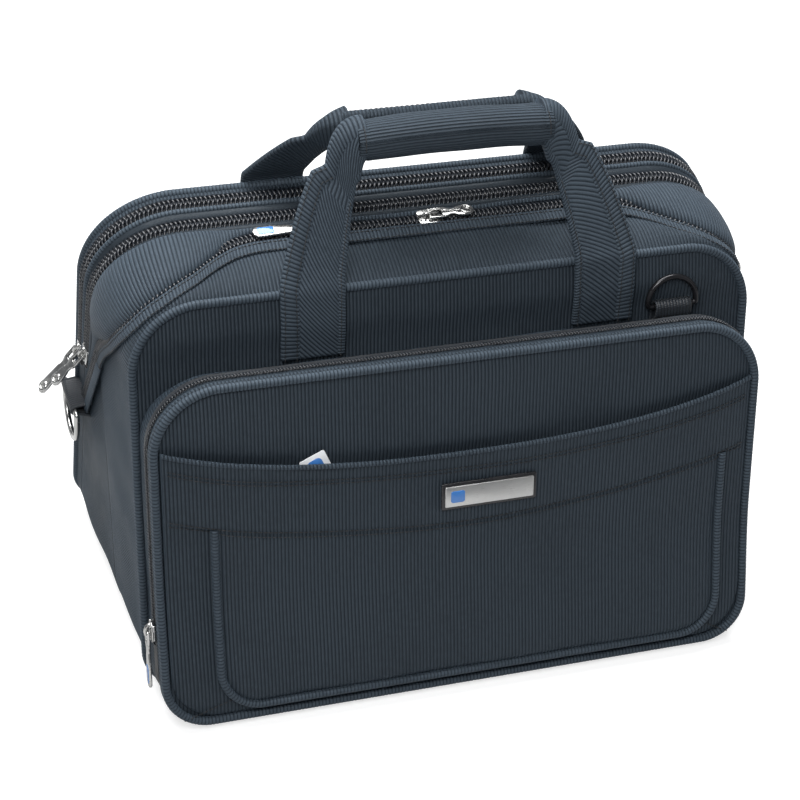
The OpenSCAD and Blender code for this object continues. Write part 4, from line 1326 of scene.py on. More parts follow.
def u_inside(x, v):
    """Distance inside the piped panel's edge; its top is open."""
    qx = np.abs(x - PLATE_SHIFT) - (U_HALF - U_R)
    qv = (U_FOOT + U_R) - v
    return -(np.hypot(np.maximum(qx, 0), np.maximum(qv, 0)) + np.minimum(np.maximum(qx, qv), 0) - U_R)


def slip_off(x, v):
    """Height of the slip pocket's cloth off the front panel."""
    inside = smooth_step(u_inside(x, v) / (9 * MM) + 0.15)
    band_zone = smooth_step((v - slip_seam(x)) / (5 * MM) + 0.5)
    side = 1 - np.exp(-np.clip(SLIP_HALF - np.abs(x), 0, None) / (22 * MM))
    puff = inside * (1 - band_zone) * side ** 0.35 + band_zone * side
    seam = np.exp(-((v - slip_seam(x)) / (1.6 * MM)) ** 2) * 1.1 * MM
    mouth = smooth_step((v - slip_top(x) + 26 * MM) / (26 * MM)) * side
    return POCKET_D + 2.0 * MM + puff * 5.2 * MM + mouth * 0.5 * MM - seam * side + sag(v)


class FLIGHTBAG_OT_pocket(bpy.types.Operator):
    """Builds the zipped front pocket with its slip pocket and piped panel"""
    bl_idname = "flightbag.pocket"
    bl_label = "Front pocket"

    def execute(self, context):
        # gusset behind the zip, in the cloth darkened as painted shade
        soft = lambda share, run: (np.sin(math.pi * share) * 0.9 * MM
                                   + ripple(run, share * 0.03, 51, 0.08) * np.sin(math.pi * share) * 0.5 * MM)
        gusset = pocket_band("pocket_gusset_cloth", 0.2 * MM, POCKET_ZIP - 6.0 * MM, 12, soft, WALL,
                             mat("ribbed_cloth_painted_shade"), 0.5 * MM, drop=8 * MM)
        gusset.parent = None
        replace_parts(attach(gusset, "front_shell"), "pocket_gusset")
        tape = pocket_band("pocket_zip_inner_tape", POCKET_ZIP - 7.0 * MM, POCKET_ZIP - 0.1 * MM, 6,
                           lambda share, run: 0.1 * MM - 0.9 * MM * share + 0 * run, 0.8 * MM,
                           mat("zip_tape"),
                           slot="zip_coil")
        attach(tape, "front_shell")
        tape = pocket_band("pocket_zip_outer_tape", POCKET_ZIP + 0.1 * MM, POCKET_ZIP + 5.6 * MM, 6,
                           lambda share, run: -0.8 * MM + 0.9 * MM * share + 0 * run, 0.8 * MM,
                           mat("smooth_cloth"),
                           slot="zip_coil")
        blend_pocket(tape)
        lip = pocket_band("pocket_lip", POCKET_ZIP + 5.0 * MM, POCKET_D - 0.6 * MM, 6,
                          lambda share, run: (0.2 + 0.6 * np.sin(math.pi * share)) * MM + 0 * run, 1.6 * MM,
                          mat("ribbed_cloth_side"))
        blend_pocket(lip)
        # the fine chain
        x, v, nx, nv = pocket_path(-0.4 * MM, 2)
        pick = v > FOLD_V + 4 * MM
        path = front_at(x, v, POCKET_ZIP)[pick]
        up = (front_at(nx, nv, 0) - front_at(0, 0, 0))[pick]
        coil = coil_half("pocket_zip_inner_coil", path, up, 1, "front_shell", 2.1 * MM, 1.9 * MM, 0.55 * MM,
                         18)
        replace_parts(coil, "pocket_zip_inner_half")
        coil = coil_half("pocket_zip_outer_coil", path, up, -1, None, 2.1 * MM, 1.9 * MM, 0.55 * MM, 19)
        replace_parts(coil, "pocket_zip_outer_half")
        blend_pocket(coil)
        # face of the pocket
        x, v, edge = panel_grid(POCKET_W - 2 * MM, POCKET_LOW + 1 * MM, POCKET_TOP - 1 * MM, POCKET_R, 110,
                                96)
        crown = 1 - np.exp(-np.clip(edge, 0, None) / (7 * MM))
        high = smooth_step((v - slip_top(x) + 5 * MM) / (12 * MM))
        off = (POCKET_D - 2.2 * MM + crown * (2.0 + 1.2 * high) * MM
               + ripple(x, v, 55, 0.13) * crown * high * 1.0 * MM) + sag(v)
        grid = front_at(x, v, off)
        face = shell("pocket_panel_cloth", grid, np.stack([x, v], -1), 2.0 * MM, mat("ribbed_cloth"), None)
        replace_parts(face, "pocket_panel", "pocket_foot")
        blend_pocket(face)
        # slip pocket, band and piped panel in one cloth
        cols, rows = 150, 130
        xs = SLIP_HALF * (0.75 * np.linspace(-1, 1,
                                             cols) + 0.25 * np.sin(np.linspace(-1, 1, cols) * math.pi / 2))
        r, low = POCKET_R[0], POCKET_LOW + 6 * MM
        reach = POCKET_W / 2 - 6 * MM
        foot = low + r - np.sqrt(np.clip(r ** 2 - np.clip(np.abs(xs) - (reach - r), 0, r * 0.995) ** 2, 0,
                                         None))
        share = np.linspace(0, 1, rows)
        x = np.repeat(xs[:, None], rows, 1)
        v = foot[:, None] + (slip_top(xs) - foot)[:, None] * share[None, :]
        inner = np.clip(np.minimum(SLIP_HALF - np.abs(x), v - foot[:, None]) / (10 * MM), 0, 1)
        off = slip_off(x, v) + ripple(x, v, 61, 0.11) * 0.7 * MM * inner
        off = off - 1.4 * MM * np.exp(-np.clip(v - foot[:, None], 0, None) / (3 * MM))
        grid = front_at(x, v, off)
        slip = shell("slip_pocket_cloth", grid, np.stack([x, v], -1), 1.6 * MM, mat("ribbed_cloth"), None)
        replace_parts(slip, "slip_panel")
        blend_pocket(slip)
        # hem of the slip pocket, in the cloth lightened as painted light
        top = slip_top(xs)
        hem_v = top[:, None] + np.array([-2.0, -0.8, 0.2, 0.9, 0.6, -0.6])[None, :] * MM
        hem_off = slip_off(xs, top)[:, None] + np.array([1.0, 1.2, 1.0, 0.2, -1.2, -2.2])[None, :] * MM
        grid = front_at(np.repeat(xs[:, None], 6, 1), hem_v, hem_off)
        shell("slip_pocket_hem", grid, np.stack([np.repeat(xs[:, None], 6, 1), hem_v], -1), 0.5 * MM,
              mat("ribbed_cloth_painted_lit"), "pocket_flap")
        xr = np.linspace(-194 * MM, 194 * MM, 160)
        rows = []
        for line in (slip_top(xr) - 11 * MM, slip_top(xr) - 13.6 * MM, slip_seam(xr) + 1.7 * MM,
                     slip_seam(xr) - 1.7 * MM):
            path = front_at(xr, line, slip_off(xr, line) + ripple(xr, line, 61, 0.11) * 0.7 * MM + 0.15 * MM)
            rows.append(stitch_rows(path, np.tile(FRONT_OUT, (len(xr), 1))))
        # darts from the foot's corners in to the piped panel
        for sign in (-1, 1):
            share = np.linspace(0, 1, 20)
            dx = (sign * (POCKET_W / 2 - 14 * MM) * (1 - share)
                  + (sign * (U_HALF - 12 * MM) + PLATE_SHIFT) * share)
            dv = 3 * MM + 12 * MM * share
            path = front_at(dx, dv, slip_off(dx, dv) + 0.3 * MM)
            rows.append(stitch_rows(path, np.tile(FRONT_OUT, (20, 1))))
        seams = stitches("slip_pocket_stitches", rows, None)
        blend_pocket(seams)
        # piping round the face, then round the lower panel
        radius = settings("cloth").piping_radius
        sagged = lambda x, v, off: front_at(x, v, off + sag(v) * np.sign(off))
        path, up = edge_path(sagged, POCKET_W, POCKET_TOP, POCKET_R, POCKET_LOW, 2.2 * MM,
                             POCKET_D + 0.2 * MM)
        cord = piping("pocket_piping_cord", path, up, radius, None, True)
        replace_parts(cord, "pocket_piping")
        blend_pocket(cord)
        left, right = PLATE_SHIFT - U_HALF, PLATE_SHIFT + U_HALF
        turn = np.radians(np.linspace(0, 90, 14))
        ux = np.concatenate([np.full(20, left), left + U_R - U_R * np.cos(turn),
                             right - U_R + U_R * np.sin(turn),
                             np.full(20, right)])
        uv_ = np.concatenate([np.linspace(slip_seam(left), U_FOOT + U_R, 20),
                              U_FOOT + U_R - U_R * np.sin(turn),
                              U_FOOT + U_R - U_R * np.cos(turn), np.linspace(U_FOOT + U_R, slip_seam(right),
                                                                             20)])
        base = POCKET_D + 4.6 * MM
        path = front_at(ux, uv_, base + sag(uv_))
        face_up = np.tile(FRONT_OUT, (len(path), 1))
        cord = piping("slip_piping_cord", path, face_up, radius * 0.92, None)
        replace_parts(cord, "slip_piping")
        blend_pocket(cord)
        return {"FINISHED"}


# ---------------------------------------------------------------- operators: handles
def handle_frame(origin, lean, back):
    """Axes of a handle: across, up and out of its face."""
    ex = np.array([1.0, 0, 0])
    if back:
        ey = np.array([0, -math.sin(lean), math.cos(lean)])
        ez = np.array([0, math.cos(lean), math.sin(lean)])
    else:
        ey = np.array([0, math.sin(lean), math.cos(lean)])
        ez = np.array([0, -math.cos(lean), math.sin(lean)])
    return origin, ex, ey, ez


STRAP_STRIP = (12 * MM, 5 * MM)
STRAP_T = 4.2 * MM


def strap_section(width, grown):
    """Cross-section of a folded strap: distance from its outer edge and height off its middle."""
    outer, inner = min(STRAP_STRIP[0], width * 0.34), min(STRAP_STRIP[1], width * 0.16)
    step = 0.8 * MM
    face = np.linspace(outer + step, width - inner - step, 9)
    d = np.concatenate([[0, 0.35 * MM, 1.2 * MM, outer * 0.5, outer - step, outer], face,
                        [width - inner, width - inner + step, width - 1.2 * MM, width - 0.35 * MM, width]])
    edge = np.clip(np.minimum(d, width - d) / (1.5 * MM), 0, 1)
    flat = STRAP_T / 2 * np.sqrt(1 - (1 - edge) ** 2)
    on_face = (d > outer) & (d < width - inner)
    flat = flat - np.where(on_face, 0.5 * MM, 0.0)
    flat[[5, len(d) - 5]] -= 0.9 * MM
    round_ = GRIP_R * 0.86 * np.sqrt(np.clip(1 - (2 * d / width - 1) ** 2, 0, 1)) ** 0.8
    top = flat * (1 - grown) + round_ * grown
    back = d[1:-1][::-1]
    edge = np.clip(np.minimum(back, width - back) / (1.5 * MM), 0, 1)
    low = -STRAP_T / 2 * np.sqrt(1 - (1 - edge) ** 2) * (1 - grown)
    low = low - GRIP_R * 0.86 * np.sqrt(np.clip(1 - (2 * back / width - 1) ** 2, 0, 1)) ** 0.8 * grown
    return np.concatenate([d, back]), np.concatenate([top, low])


def strap_lines(inner, outer, rings):
    a, b = [resample(np.array(k, float), arc_length(np.array(k, float))[-1] / (rings - 1)) for k in (inner,
                                                                                                     outer)]
    tau = np.linspace(0, 1, rings)
    return a, b, tau, np.interp(tau, [0, 0.74, 1], [0, 0, 1]) ** 1.4


def strap_data(place, inner, outer, lift, sign, rings=70):
    """A folded strap between an inner and an outer edge, with a bound strip down each side."""
    a, b, tau, grown = strap_lines(inner, outer, rings)
    width = np.linalg.norm(b - a, axis=1)
    run = arc_length((a + b) / 2)
    verts, across = [], []
    for k in range(rings):
        d, high = strap_section(width[k], grown[k])
        flat = b[k] + (a[k] - b[k]) * (d / width[k])[:, None]
        verts.append(place(flat[:, 0] * sign, flat[:, 1], high + lift(tau[k])))
        across.append(d)
    sides = len(across[0])
    across = np.array(across)
    faces = grid_faces(rings, sides, 0, False, True, flip=sign < 0)
    column = np.sort(faces % sides, axis=1)
    column = np.where(column[:, 3] - column[:, 0] > 2, 0, column[:, 0])
    u, c = np.repeat(run, sides)[faces], across.reshape(-1)[faces]
    diagonal = np.stack([(u - c * sign) * 0.7071, (u * sign + c) * 0.7071], -1)
    central = (column >= 5) & (column < 15)
    loops = np.where(central[:, None, None], diagonal, np.stack([u, c], -1))
    ends = [tuple(range(sides)), tuple((rings - 1) * sides + np.arange(sides))[::-1]]
    if sign < 0:
        ends = [e[::-1] for e in ends]
    loops = np.concatenate([loops.reshape(-1, 2), np.zeros((2 * sides, 2))])
    return np.array(verts).reshape(-1, 3), [tuple(f) for f in faces] + ends, loops


def strap_stitches(place, inner, outer, lift, sign, out, rings=70):
    """Rows of stitches down the bound strips of a strap."""
    a, b, tau, _ = strap_lines(inner, outer, rings)
    keep = tau < 0.76
    a, b, tau = a[keep], b[keep], tau[keep]
    width = np.linalg.norm(b - a, axis=1)
    strip = np.minimum(STRAP_STRIP[0], width * 0.34)
    rows = []
    for d in (strip - 1.9 * MM, strip * 0 + 2.4 * MM,
              width - np.minimum(STRAP_STRIP[1], width * 0.16) + 1.6 * MM):
        flat = b + (a - b) * (d / width)[:, None]
        settle = np.array([lift(t) for t in tau])
        path = place(flat[:, 0] * sign, flat[:, 1], STRAP_T / 2 + settle)
        rows.append(stitch_rows(path, np.tile(out, (len(path), 1))))
    return rows


def bezier(*points, count=12):
    p = np.array(points, float)
    t = np.linspace(0, 1, count)[:, None]
    return (1 - t) ** 2 * p[0] + 2 * (1 - t) * t * p[1] + t ** 2 * p[2]


def strap_edges(rise, band_half, foot, end):
    """Inner and outer edges of a strap that narrows and turns in to the grip."""
    low, half = STRAP_HALF, 21 * MM
    inner = np.concatenate([[(low - half, foot)], [(low - half, 0.0)],
                            bezier((low - half, 6 * MM), (end + 12 * MM, rise * 0.45),
                                   (end + 6 * MM, rise * 0.70)),
                            bezier((end + 3.2 * MM, rise * 0.72), (end + 2 * MM, rise - band_half - 1 * MM),
                                   (end, rise - band_half + 0.5 * MM), count=8)])
    outer = np.concatenate([[(low + half, foot)], [(low + half, 0.0)],
                            bezier((low + half, 6 * MM), (end + 48 * MM, rise * 0.55),
                                   (end + 34 * MM, rise * 0.82)),
                            bezier((end + 25 * MM, rise * 0.85), (end + 19 * MM, rise + band_half),
                                   (end, rise + band_half - 0.5 * MM), count=14)])
    return inner, outer


def hinged_place(origin, low_axes, high_axes):
    """Follow the board below the fold and the handle above it: across, up and out of the face."""
    def place(x, h, o):
        x, h, o = np.broadcast_arrays(*[np.asarray(k, float) for k in (x, h, o)])
        share = smooth_step((h + 4 * MM) / (12 * MM))[..., None]
        up = low_axes[2] * (1 - share) + high_axes[2] * share
        out = unit(low_axes[3] * (1 - share) + high_axes[3] * share)
        return origin + x[..., None] * low_axes[1] + h[..., None] * up + o[..., None] * out
    return place


def sleeve_data(place, half, count, sides, section, flip):
    """A closed sleeve along x; section gives height and out-of-face offset at x and turn."""
    xs = np.linspace(-half, half, count)
    turn = np.arange(sides) * 2 * math.pi / sides
    h, o = section(xs[:, None], turn[None, :])
    verts = place(np.repeat(xs[:, None], sides, 1), h, o).reshape(-1, 3)
    faces = [tuple(q) for q in grid_faces(count, sides, 0, False, True, flip=flip)]
    ends = [tuple(range(sides)), tuple((count - 1) * sides + np.arange(sides))[::-1]]
    if not flip:
        ends = [e[::-1] for e in ends]
    return verts, faces + ends, xs, turn


class FLIGHTBAG_OT_handles(bpy.types.Operator):
    """Builds the two carrying handles with their padded grips"""
    bl_idname = "flightbag.handles"
    bl_label = "Handles"

    def execute(self, context):
        settle = lambda tau: -2.2 * MM * smooth_step(1 - tau / 0.16)
        level = lambda tau: 0.0
        for prefix, origin, board, lean, back, rise, band_half, foot, shell_body, handle, lift in (
                ("front", HANDLE, FRONT_LEAN, FRONT_HANDLE_LEAN, False, GRIP_RISE, GRIP_R, -44 * MM,
                 "front_shell", "front_handle", settle),
                ("rear", REAR_HANDLE, REAR_LEAN, REAR_HANDLE_LEAN, True, REAR_BAND_RISE, 15 * MM, -58 * MM,
                 "back_shell", "rear_handle", level)):
            axes = handle_frame(origin, lean, back)
            place = hinged_place(origin, handle_frame(origin, board, back), axes)
            inner, outer = strap_edges(rise, band_half, foot, GRIP_HALF - 5 * MM)
            pieces = []
            for sign, label in ((-1, "left"), (1, "right")):
                # out of the rear face the section is seen mirrored
                v, f, uv = strap_data(place, inner, outer, lift, sign)
                if back:
                    turned = uv[:-2 * (len(f[-1]))].reshape(-1, 4, 2)[:, ::-1].reshape(-1, 2)
                    uv = np.concatenate([turned, uv[-2 * len(f[-1]):]])
                    f = [face[::-1] for face in f]
                # the front straps take the cloth lightened as painted light, the rear straps the plain cloth
                strap = add_mesh(f"{prefix}_strap_{label}", v, f,
                                 mat("ribbed_cloth_side" if back else "ribbed_cloth_painted_lit"), None,
                                 "ribbed_nylon",
                                 loop_uvs=uv)
                rows = strap_stitches(place, inner, outer, lift, sign, axes[3])
                seams = stitches(f"{prefix}_strap_{label}_stitches", rows, None)
                for piece in (strap, seams):
                    piece.parent = None
                    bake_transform(piece, shell_body, handle, tuple(place(0.0, -5 * MM, 0.0)),
                             tuple(place(0.0, 12 * MM, 0.0)))
                pieces.append(strap)
            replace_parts(pieces[0], prefix + "_straps", prefix + "_handle_feet")
            if back:
                continue

            def grip_section(x, turn):
                end = np.clip((GRIP_HALF - np.abs(x)) / (5 * MM), 0, 1)
                cuff = np.exp(-((GRIP_HALF - np.abs(x) - 6 * MM) / (1.0 * MM)) ** 2) * 0.7 * MM
                crown = 0.5 * MM * np.cos(x / GRIP_HALF * 1.57)
                radius = (GRIP_R - 0.6 * MM) * (0.90 + 0.10 * np.sqrt(end)) + crown
                seam = 0.9 * MM * np.exp(-((np.angle(np.exp(1j * (turn + math.pi / 2 - 0.4)))) / 0.16) ** 2)
                rr = radius + ripple(x, turn * GRIP_R, 71, 0.05) * 0.45 * MM - seam - cuff
                middle = GRIP_RISE - 2.0 * MM * (x / GRIP_HALF) ** 2
                return middle + rr * np.sin(turn) * 0.92, rr * np.cos(turn)

            v, f, xs, turn = sleeve_data(place, GRIP_HALF, 110, 40, grip_section, True)
            uv = np.stack([np.tile(turn * GRIP_R, len(xs)), np.repeat(xs, len(turn))], -1)
            grip = add_mesh("front_grip_sleeve", v, f, mat("ribbed_cloth_side"), handle, "ribbed_nylon", uv)
            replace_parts(grip, "front_grip")
            rows = []
            for end_x in (-GRIP_HALF + 3.5 * MM, GRIP_HALF - 3.5 * MM):
                a = np.linspace(-0.4, 2.2, 30)
                h, o = grip_section(np.full(30, end_x), a)
                path = place(np.full(30, end_x), h + 0.2 * MM * np.sin(a), o + 0.2 * MM * np.cos(a))
                out = np.sin(a)[:, None] * axes[2] + np.cos(a)[:, None] * axes[3]
                rows.append(stitch_rows(path, out))
            stitches("front_grip_stitches", rows, handle)

        def band_section(x, turn):
            end = np.clip((GRIP_HALF - np.abs(x)) / (6 * MM), 0, 1)
            grow = 0.90 + 0.10 * np.sqrt(end)
            cx = np.sign(np.cos(turn)) * np.abs(np.cos(turn)) ** 0.7
            cz = np.sign(np.sin(turn)) * np.abs(np.sin(turn)) ** 0.6
            wave = ripple(x, turn * 0.01, 73, 0.05) * 0.3 * MM
            return REAR_BAND_RISE + 15.5 * MM * grow * cx, 5.4 * MM * grow * cz + wave

        v, f, xs, turn = sleeve_data(place, GRIP_HALF, 60, 32, band_section, False)
        uv = np.stack([np.repeat(xs, len(turn)), np.tile(turn * 15 * MM, len(xs))], -1)
        piece = add_mesh("rear_band_sleeve", v, f, mat("ribbed_cloth_side"), handle, "ribbed_nylon", uv)
        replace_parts(piece, "rear_band")
        rows = []
        for face in (-1, 1):
            for h in (REAR_BAND_RISE + 11 * MM, REAR_BAND_RISE - 11 * MM):
                x = np.linspace(-GRIP_HALF + 4 * MM, GRIP_HALF - 4 * MM, 30)
                path = place(x, np.full(30, h), np.full(30, face * 4.9 * MM))
                rows.append(stitch_rows(path, np.tile(axes[3] * face, (30, 1))))
        stitches("rear_band_stitches", rows, handle)
        return {"FINISHED"}


# ---------------------------------------------------------------- operators: hardware
def chain_frame(t, s_mark):
    """Frame at a station: origin, along the chain, across it to the rear, and out of the cloth."""
    s = np.arange(s_mark - 1, s_mark + 2)
    p, n = on_shell(s, t[s])
    along = unit(p[2] - p[0])
    across = unit(np.cross(n[1], along))
    return p[1], along, across, n[1]


def nearest_station(t, spot):
    p, _ = on_shell(STATIONS, t)
    return int(np.argmin(np.linalg.norm(p - spot, axis=1)))


def slider_data(frame4, wide, long):
    """Slider body: two rounded plates, the bridge between them and the loop for the puller."""
    o, ex, ey, ez = frame4
    nose = np.array([(-0.50, -0.30), (-0.42, -0.46), (-0.1, -0.5), (0.25, -0.46), (0.47, -0.30), (0.5, -0.12),
                     (0.36, 0.0), (0.5, 0.12), (0.47, 0.30), (0.25, 0.46), (-0.1, 0.5), (-0.42, 0.46),
                     (-0.50, 0.30)]) * [long, wide]
    parts = [slab_data(nose, 1.5 * MM, 3.1 * MM, 0.5 * MM, o, ex, ey, ez),
             slab_data(nose * [1, 0.72], -2.8 * MM, -1.6 * MM, 0.4 * MM, o, ex, ey, ez)]
    for side in (-1, 1):
        rim = round_rect(-long * 0.4, side * wide * 0.42 - 0.5 * MM, long * 0.36,
                         side * wide * 0.42 + 0.5 * MM, 0.45 * MM, 3)
        parts.append(slab_data(rim, 0.2 * MM, 2.2 * MM, 0.2 * MM, o, ex, ey, ez))
    arch = np.array([(-5.2, 0, 2.4), (-4.6, 0, 4.4), (-2.4, 0, 6.1), (0.6, 0, 6.5), (3.2, 0, 5.6),
                     (4.6, 0, 4.0),
                     (5.0, 0, 2.4)]) * MM
    arch = resample(arch, 0.7 * MM)
    path = o + arch[:, :1] * ex + arch[:, 1:2] * ey + arch[:, 2:] * ez
    parts.append(tube_data(path, np.tile(ey, (len(path), 1)), 1.15 * MM, 8))
    return join_data(parts)


def puller_data(frame4, long, wide, style):
    """Puller with its cross bar, fork, waist and grip end."""
    o, ex, ey, ez = frame4
    t = 1.0 * MM
    bar = o + np.linspace(-wide / 2 + 1 * MM, wide / 2 - 1 * MM, 5)[:, None] * ey
    parts = [tube_data(bar, np.tile(ez, (5, 1)), 1.0 * MM, 8)]
    for side in (-1, 1):
        arm = round_rect(-1.2 * MM, side * (wide / 2 - 1.2 * MM) - 1.1 * MM, 9.5 * MM,
                         side * (wide / 2 - 1.2 * MM) + 1.1 * MM, 0.9 * MM, 3)
        parts.append(slab_data(arm, -t, t, 0.35 * MM, o, ex, ey, ez))
    waist = np.array([(8, -4.2), (11, -4.0), (13, -2.6), (16, -2.4), (18, -3.4), (long / MM - 8, -4.4),
                      (long / MM - 3, -4.2), (long / MM - 0.8, -2.6), (long / MM, 0)]) * MM
    shape = np.concatenate([waist, waist[-2::-1] * [1, -1]])
    shape[:, 1] *= wide / (9 * MM)
    parts.append(slab_data(shape, -t, t, 0.4 * MM, o, ex, ey, ez))
    if style == "bulb":
        turn = np.linspace(0, 2 * math.pi, 20, endpoint=False)
        ring = np.stack([np.cos(turn) * 3.1 + long / MM - 5.2, np.sin(turn) * 3.1], -1) * MM
        path = o + ring[:, :1] * ex + ring[:, 1:] * ey + t * ez
        parts.append(tube_data(path, np.tile(ez, (20, 1)), 1.1 * MM, 8, closed=True))
    return join_data(parts)


def d_ring_data(origin, bar, hang, out, half, drop, radius):
    """Closed D of round wire: a straight bar, two short legs and a bow."""
    bow = np.linspace(0, math.pi, 26)
    corner = 2.2 * MM
    turn = np.linspace(0, math.pi / 2, 6)[1:]
    pts = [(x, 0.0) for x in np.linspace(-half + corner, half - corner, 14)]
    pts += [(half - corner + corner * math.sin(a), corner - corner * math.cos(a)) for a in turn]
    pts += [(half, drop * 0.8)]
    pts += [(half * math.cos(a), drop + half * math.sin(a)) for a in bow]
    pts += [(-half, drop * 0.8)]
    pts += [(-half + corner - corner * math.cos(a), corner - corner * math.sin(a)) for a in turn[:-1]]
    pts = np.array(pts)
    path = origin + pts[:, :1] * bar + pts[:, 1:] * hang
    return tube_data(path, np.tile(out, (len(path), 1)), radius, 12, closed=True)


def fitted(name, data, material, body, slot, *nodes):
    """A piece that rides on a body and stands for the named nodes of the frame."""
    v, f, uv = data
    obj = add_mesh(name, v, f, mat(material), body, slot, uv)
    if nodes:
        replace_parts(obj, *nodes)
    return obj


def loop_grid(profile, across, place):
    """A strip swept along a row of widths: its grid and UVs; place turns profile and widths into points."""
    run = arc_length(profile)
    shape = (len(profile), len(across))
    first, second = [np.broadcast_to(profile[:, k:k + 1], shape) for k in (0, 1)]
    widths = np.broadcast_to(across[None, :], shape)
    return place(widths, first, second), np.stack([np.broadcast_to(run[:, None], shape), widths], -1)


class FLIGHTBAG_OT_hardware(bpy.types.Operator):
    """Builds the sliders, pullers, rings, tabs, plate and tag"""
    bl_idname = "flightbag.hardware"
    bl_label = "Metal and small pieces"

    def execute(self, context):
        wire = settings("metal").wire
        bar = 5.0 * MM
        hang = math.radians(36)
        for node, t, direction, long, style in (
                ("a_right", T_A, "right", 30 * MM, "bulb"), ("a_left", T_A, "left", 42 * MM, "plate"),
                ("b", T_B, "hang", 32 * MM, "bulb"), ("c", T_C, "hang", 42 * MM, "bulb")):
            spot = slider_spot("slider_" + node)
            o, along, across, out = chain_frame(t, nearest_station(t, spot))
            o = spot - out * np.dot(spot - o, out)
            wide = 13.4 * MM if node[0] == "a" else 11.4 * MM
            slider, puller = f"slider_{node}", f"puller_{node}"
            fitted(slider + "_body", slider_data((o, along, across, out), wide, 16 * MM), "nickel", slider,
                   "nickel",
                   slider)
            pivot = o + bar * out
            if direction == "right":
                ex = along
            elif direction == "left":
                ex = -along
            else:
                ex = -math.cos(hang) * along + math.sin(hang) * out
            ez = np.cross(ex, across)
            if np.dot(ez, out) < 0:
                ez = -ez
            fitted(puller + "_body", puller_data((pivot, ex, across, ez), long, 9 * MM, style), "nickel",
                   puller,
                   "nickel", puller)
            if style == "plate":
                inlay = round_rect(long - 14 * MM, -3 * MM, long - 3 * MM, 3 * MM, 1.2 * MM)
                fitted(puller + "_enamel", slab_data(inlay, 0.6 * MM, 1.35 * MM, 0.2 * MM, pivot, ex, across,
                                                     ez),
                       "enamel", puller, "enamel")
        # pocket slider on the left edge of the pocket
        o = front_at(-POCKET_W / 2, front_height(slider_spot("slider_pocket")[2], POCKET_ZIP), POCKET_ZIP)
        out, along, across = -ACROSS, FRONT_UP, FRONT_OUT
        fitted("slider_pocket_body", slider_data((o, along, across, out), 9.6 * MM, 15 * MM), "nickel",
               "slider_pocket", "nickel", "slider_pocket")
        fitted("puller_pocket_body", puller_data((o + bar * out, -along, across, out), 42 * MM, 9 * MM,
                                                 "plate"),
               "nickel", "puller_pocket", "nickel", "puller_pocket")
        inlay = round_rect(26 * MM, -3 * MM, 38.5 * MM, 3 * MM, 1.2 * MM)
        fitted("puller_pocket_enamel", slab_data(inlay, 0.6 * MM, 1.35 * MM, 0.2 * MM, o + bar * out, -along,
                                                 across,
                                                 out), "enamel", "puller_pocket", "enamel")
        # strap rings at the sides, hanging from their webbing loops
        for sign, label in ((-1, "left"), (1, "right")):
            lo, hi = node_box("ring_" + label)
            mid = (lo + hi) / 2
            top = hi[2] - wire
            centre = np.array([mid[0], mid[1], top])
            hanging = d_ring_data(centre, np.array([0, 1.0, 0]), np.array([0, 0, -1.0]), sign * ACROSS,
                                  22 * MM, 8 * MM,
                                  wire)
            fitted(f"ring_{label}_wire", hanging, "nickel", f"ring_{label}", "nickel", "ring_" + label)
            # webbing loop: up from the seam, round the bar and back
            lo_t, hi_t = node_box("ring_tab_" + label)
            wall_x = lo_t[0] if sign > 0 else hi_t[0]
            depth = abs(centre[0]) - abs(wall_x)
            r = wire + 1.5 * MM
            prof = [(-depth - 3 * MM, -7 * MM), (-depth * 0.5, -r - 0.8 * MM)]
            prof += [(r * math.cos(a), r * math.sin(a)) for a in np.radians(np.linspace(-90, 90, 12))]
            prof += [(-depth * 0.5, r + 0.6 * MM), (-depth - 3 * MM, 5 * MM)]
            grid, uv = loop_grid(resample(np.array(prof), 1.2 * MM), np.linspace(-17 * MM, 17 * MM, 14),
                                 lambda y, x, z: centre + np.stack([sign * x, y, z], -1))
            tab = shell(f"ring_tab_{label}_webbing", grid, uv, 1.3 * MM, mat("webbing"), "core", "webbing",
                        flip=sign > 0)
            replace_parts(tab, "ring_tab_" + label)
        # black ring on the front panel, in a loop of webbing
        lo, hi = node_box("front_ring_tab")
        ring_x, ring_v, off = (lo[0] + hi[0]) / 2, POCKET_TOP + 4 * MM, 7 * MM
        hanging = d_ring_data(front_at(ring_x, ring_v, off), ACROSS, FRONT_UP, FRONT_OUT, 17 * MM, 3 * MM,
                              wire)
        fitted("ring_front_wire", hanging, "black_metal", "ring_front", "black_metal", "ring_front")
        r = wire + 1.3 * MM
        prof = [(-12 * MM, -off + 1 * MM), (-5 * MM, -3.6 * MM)]
        prof += [(r * math.sin(a), -r * math.cos(a)) for a in np.radians(np.linspace(-10, 190, 16))]
        prof += [(-5 * MM, 3.0 * MM), (-12 * MM, -off + 2.6 * MM)]
        grid, uv = loop_grid(resample(np.array(prof), 1.0 * MM), np.linspace(-12.5 * MM, 12.5 * MM, 12),
                             lambda x, v, o: front_at(ring_x + x, ring_v + v, off + o))
        tab = shell("front_ring_tab_webbing", grid, uv, 1.1 * MM, mat("webbing"), "front_shell", "webbing",
                    flip=True)
        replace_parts(tab, "front_ring_tab")
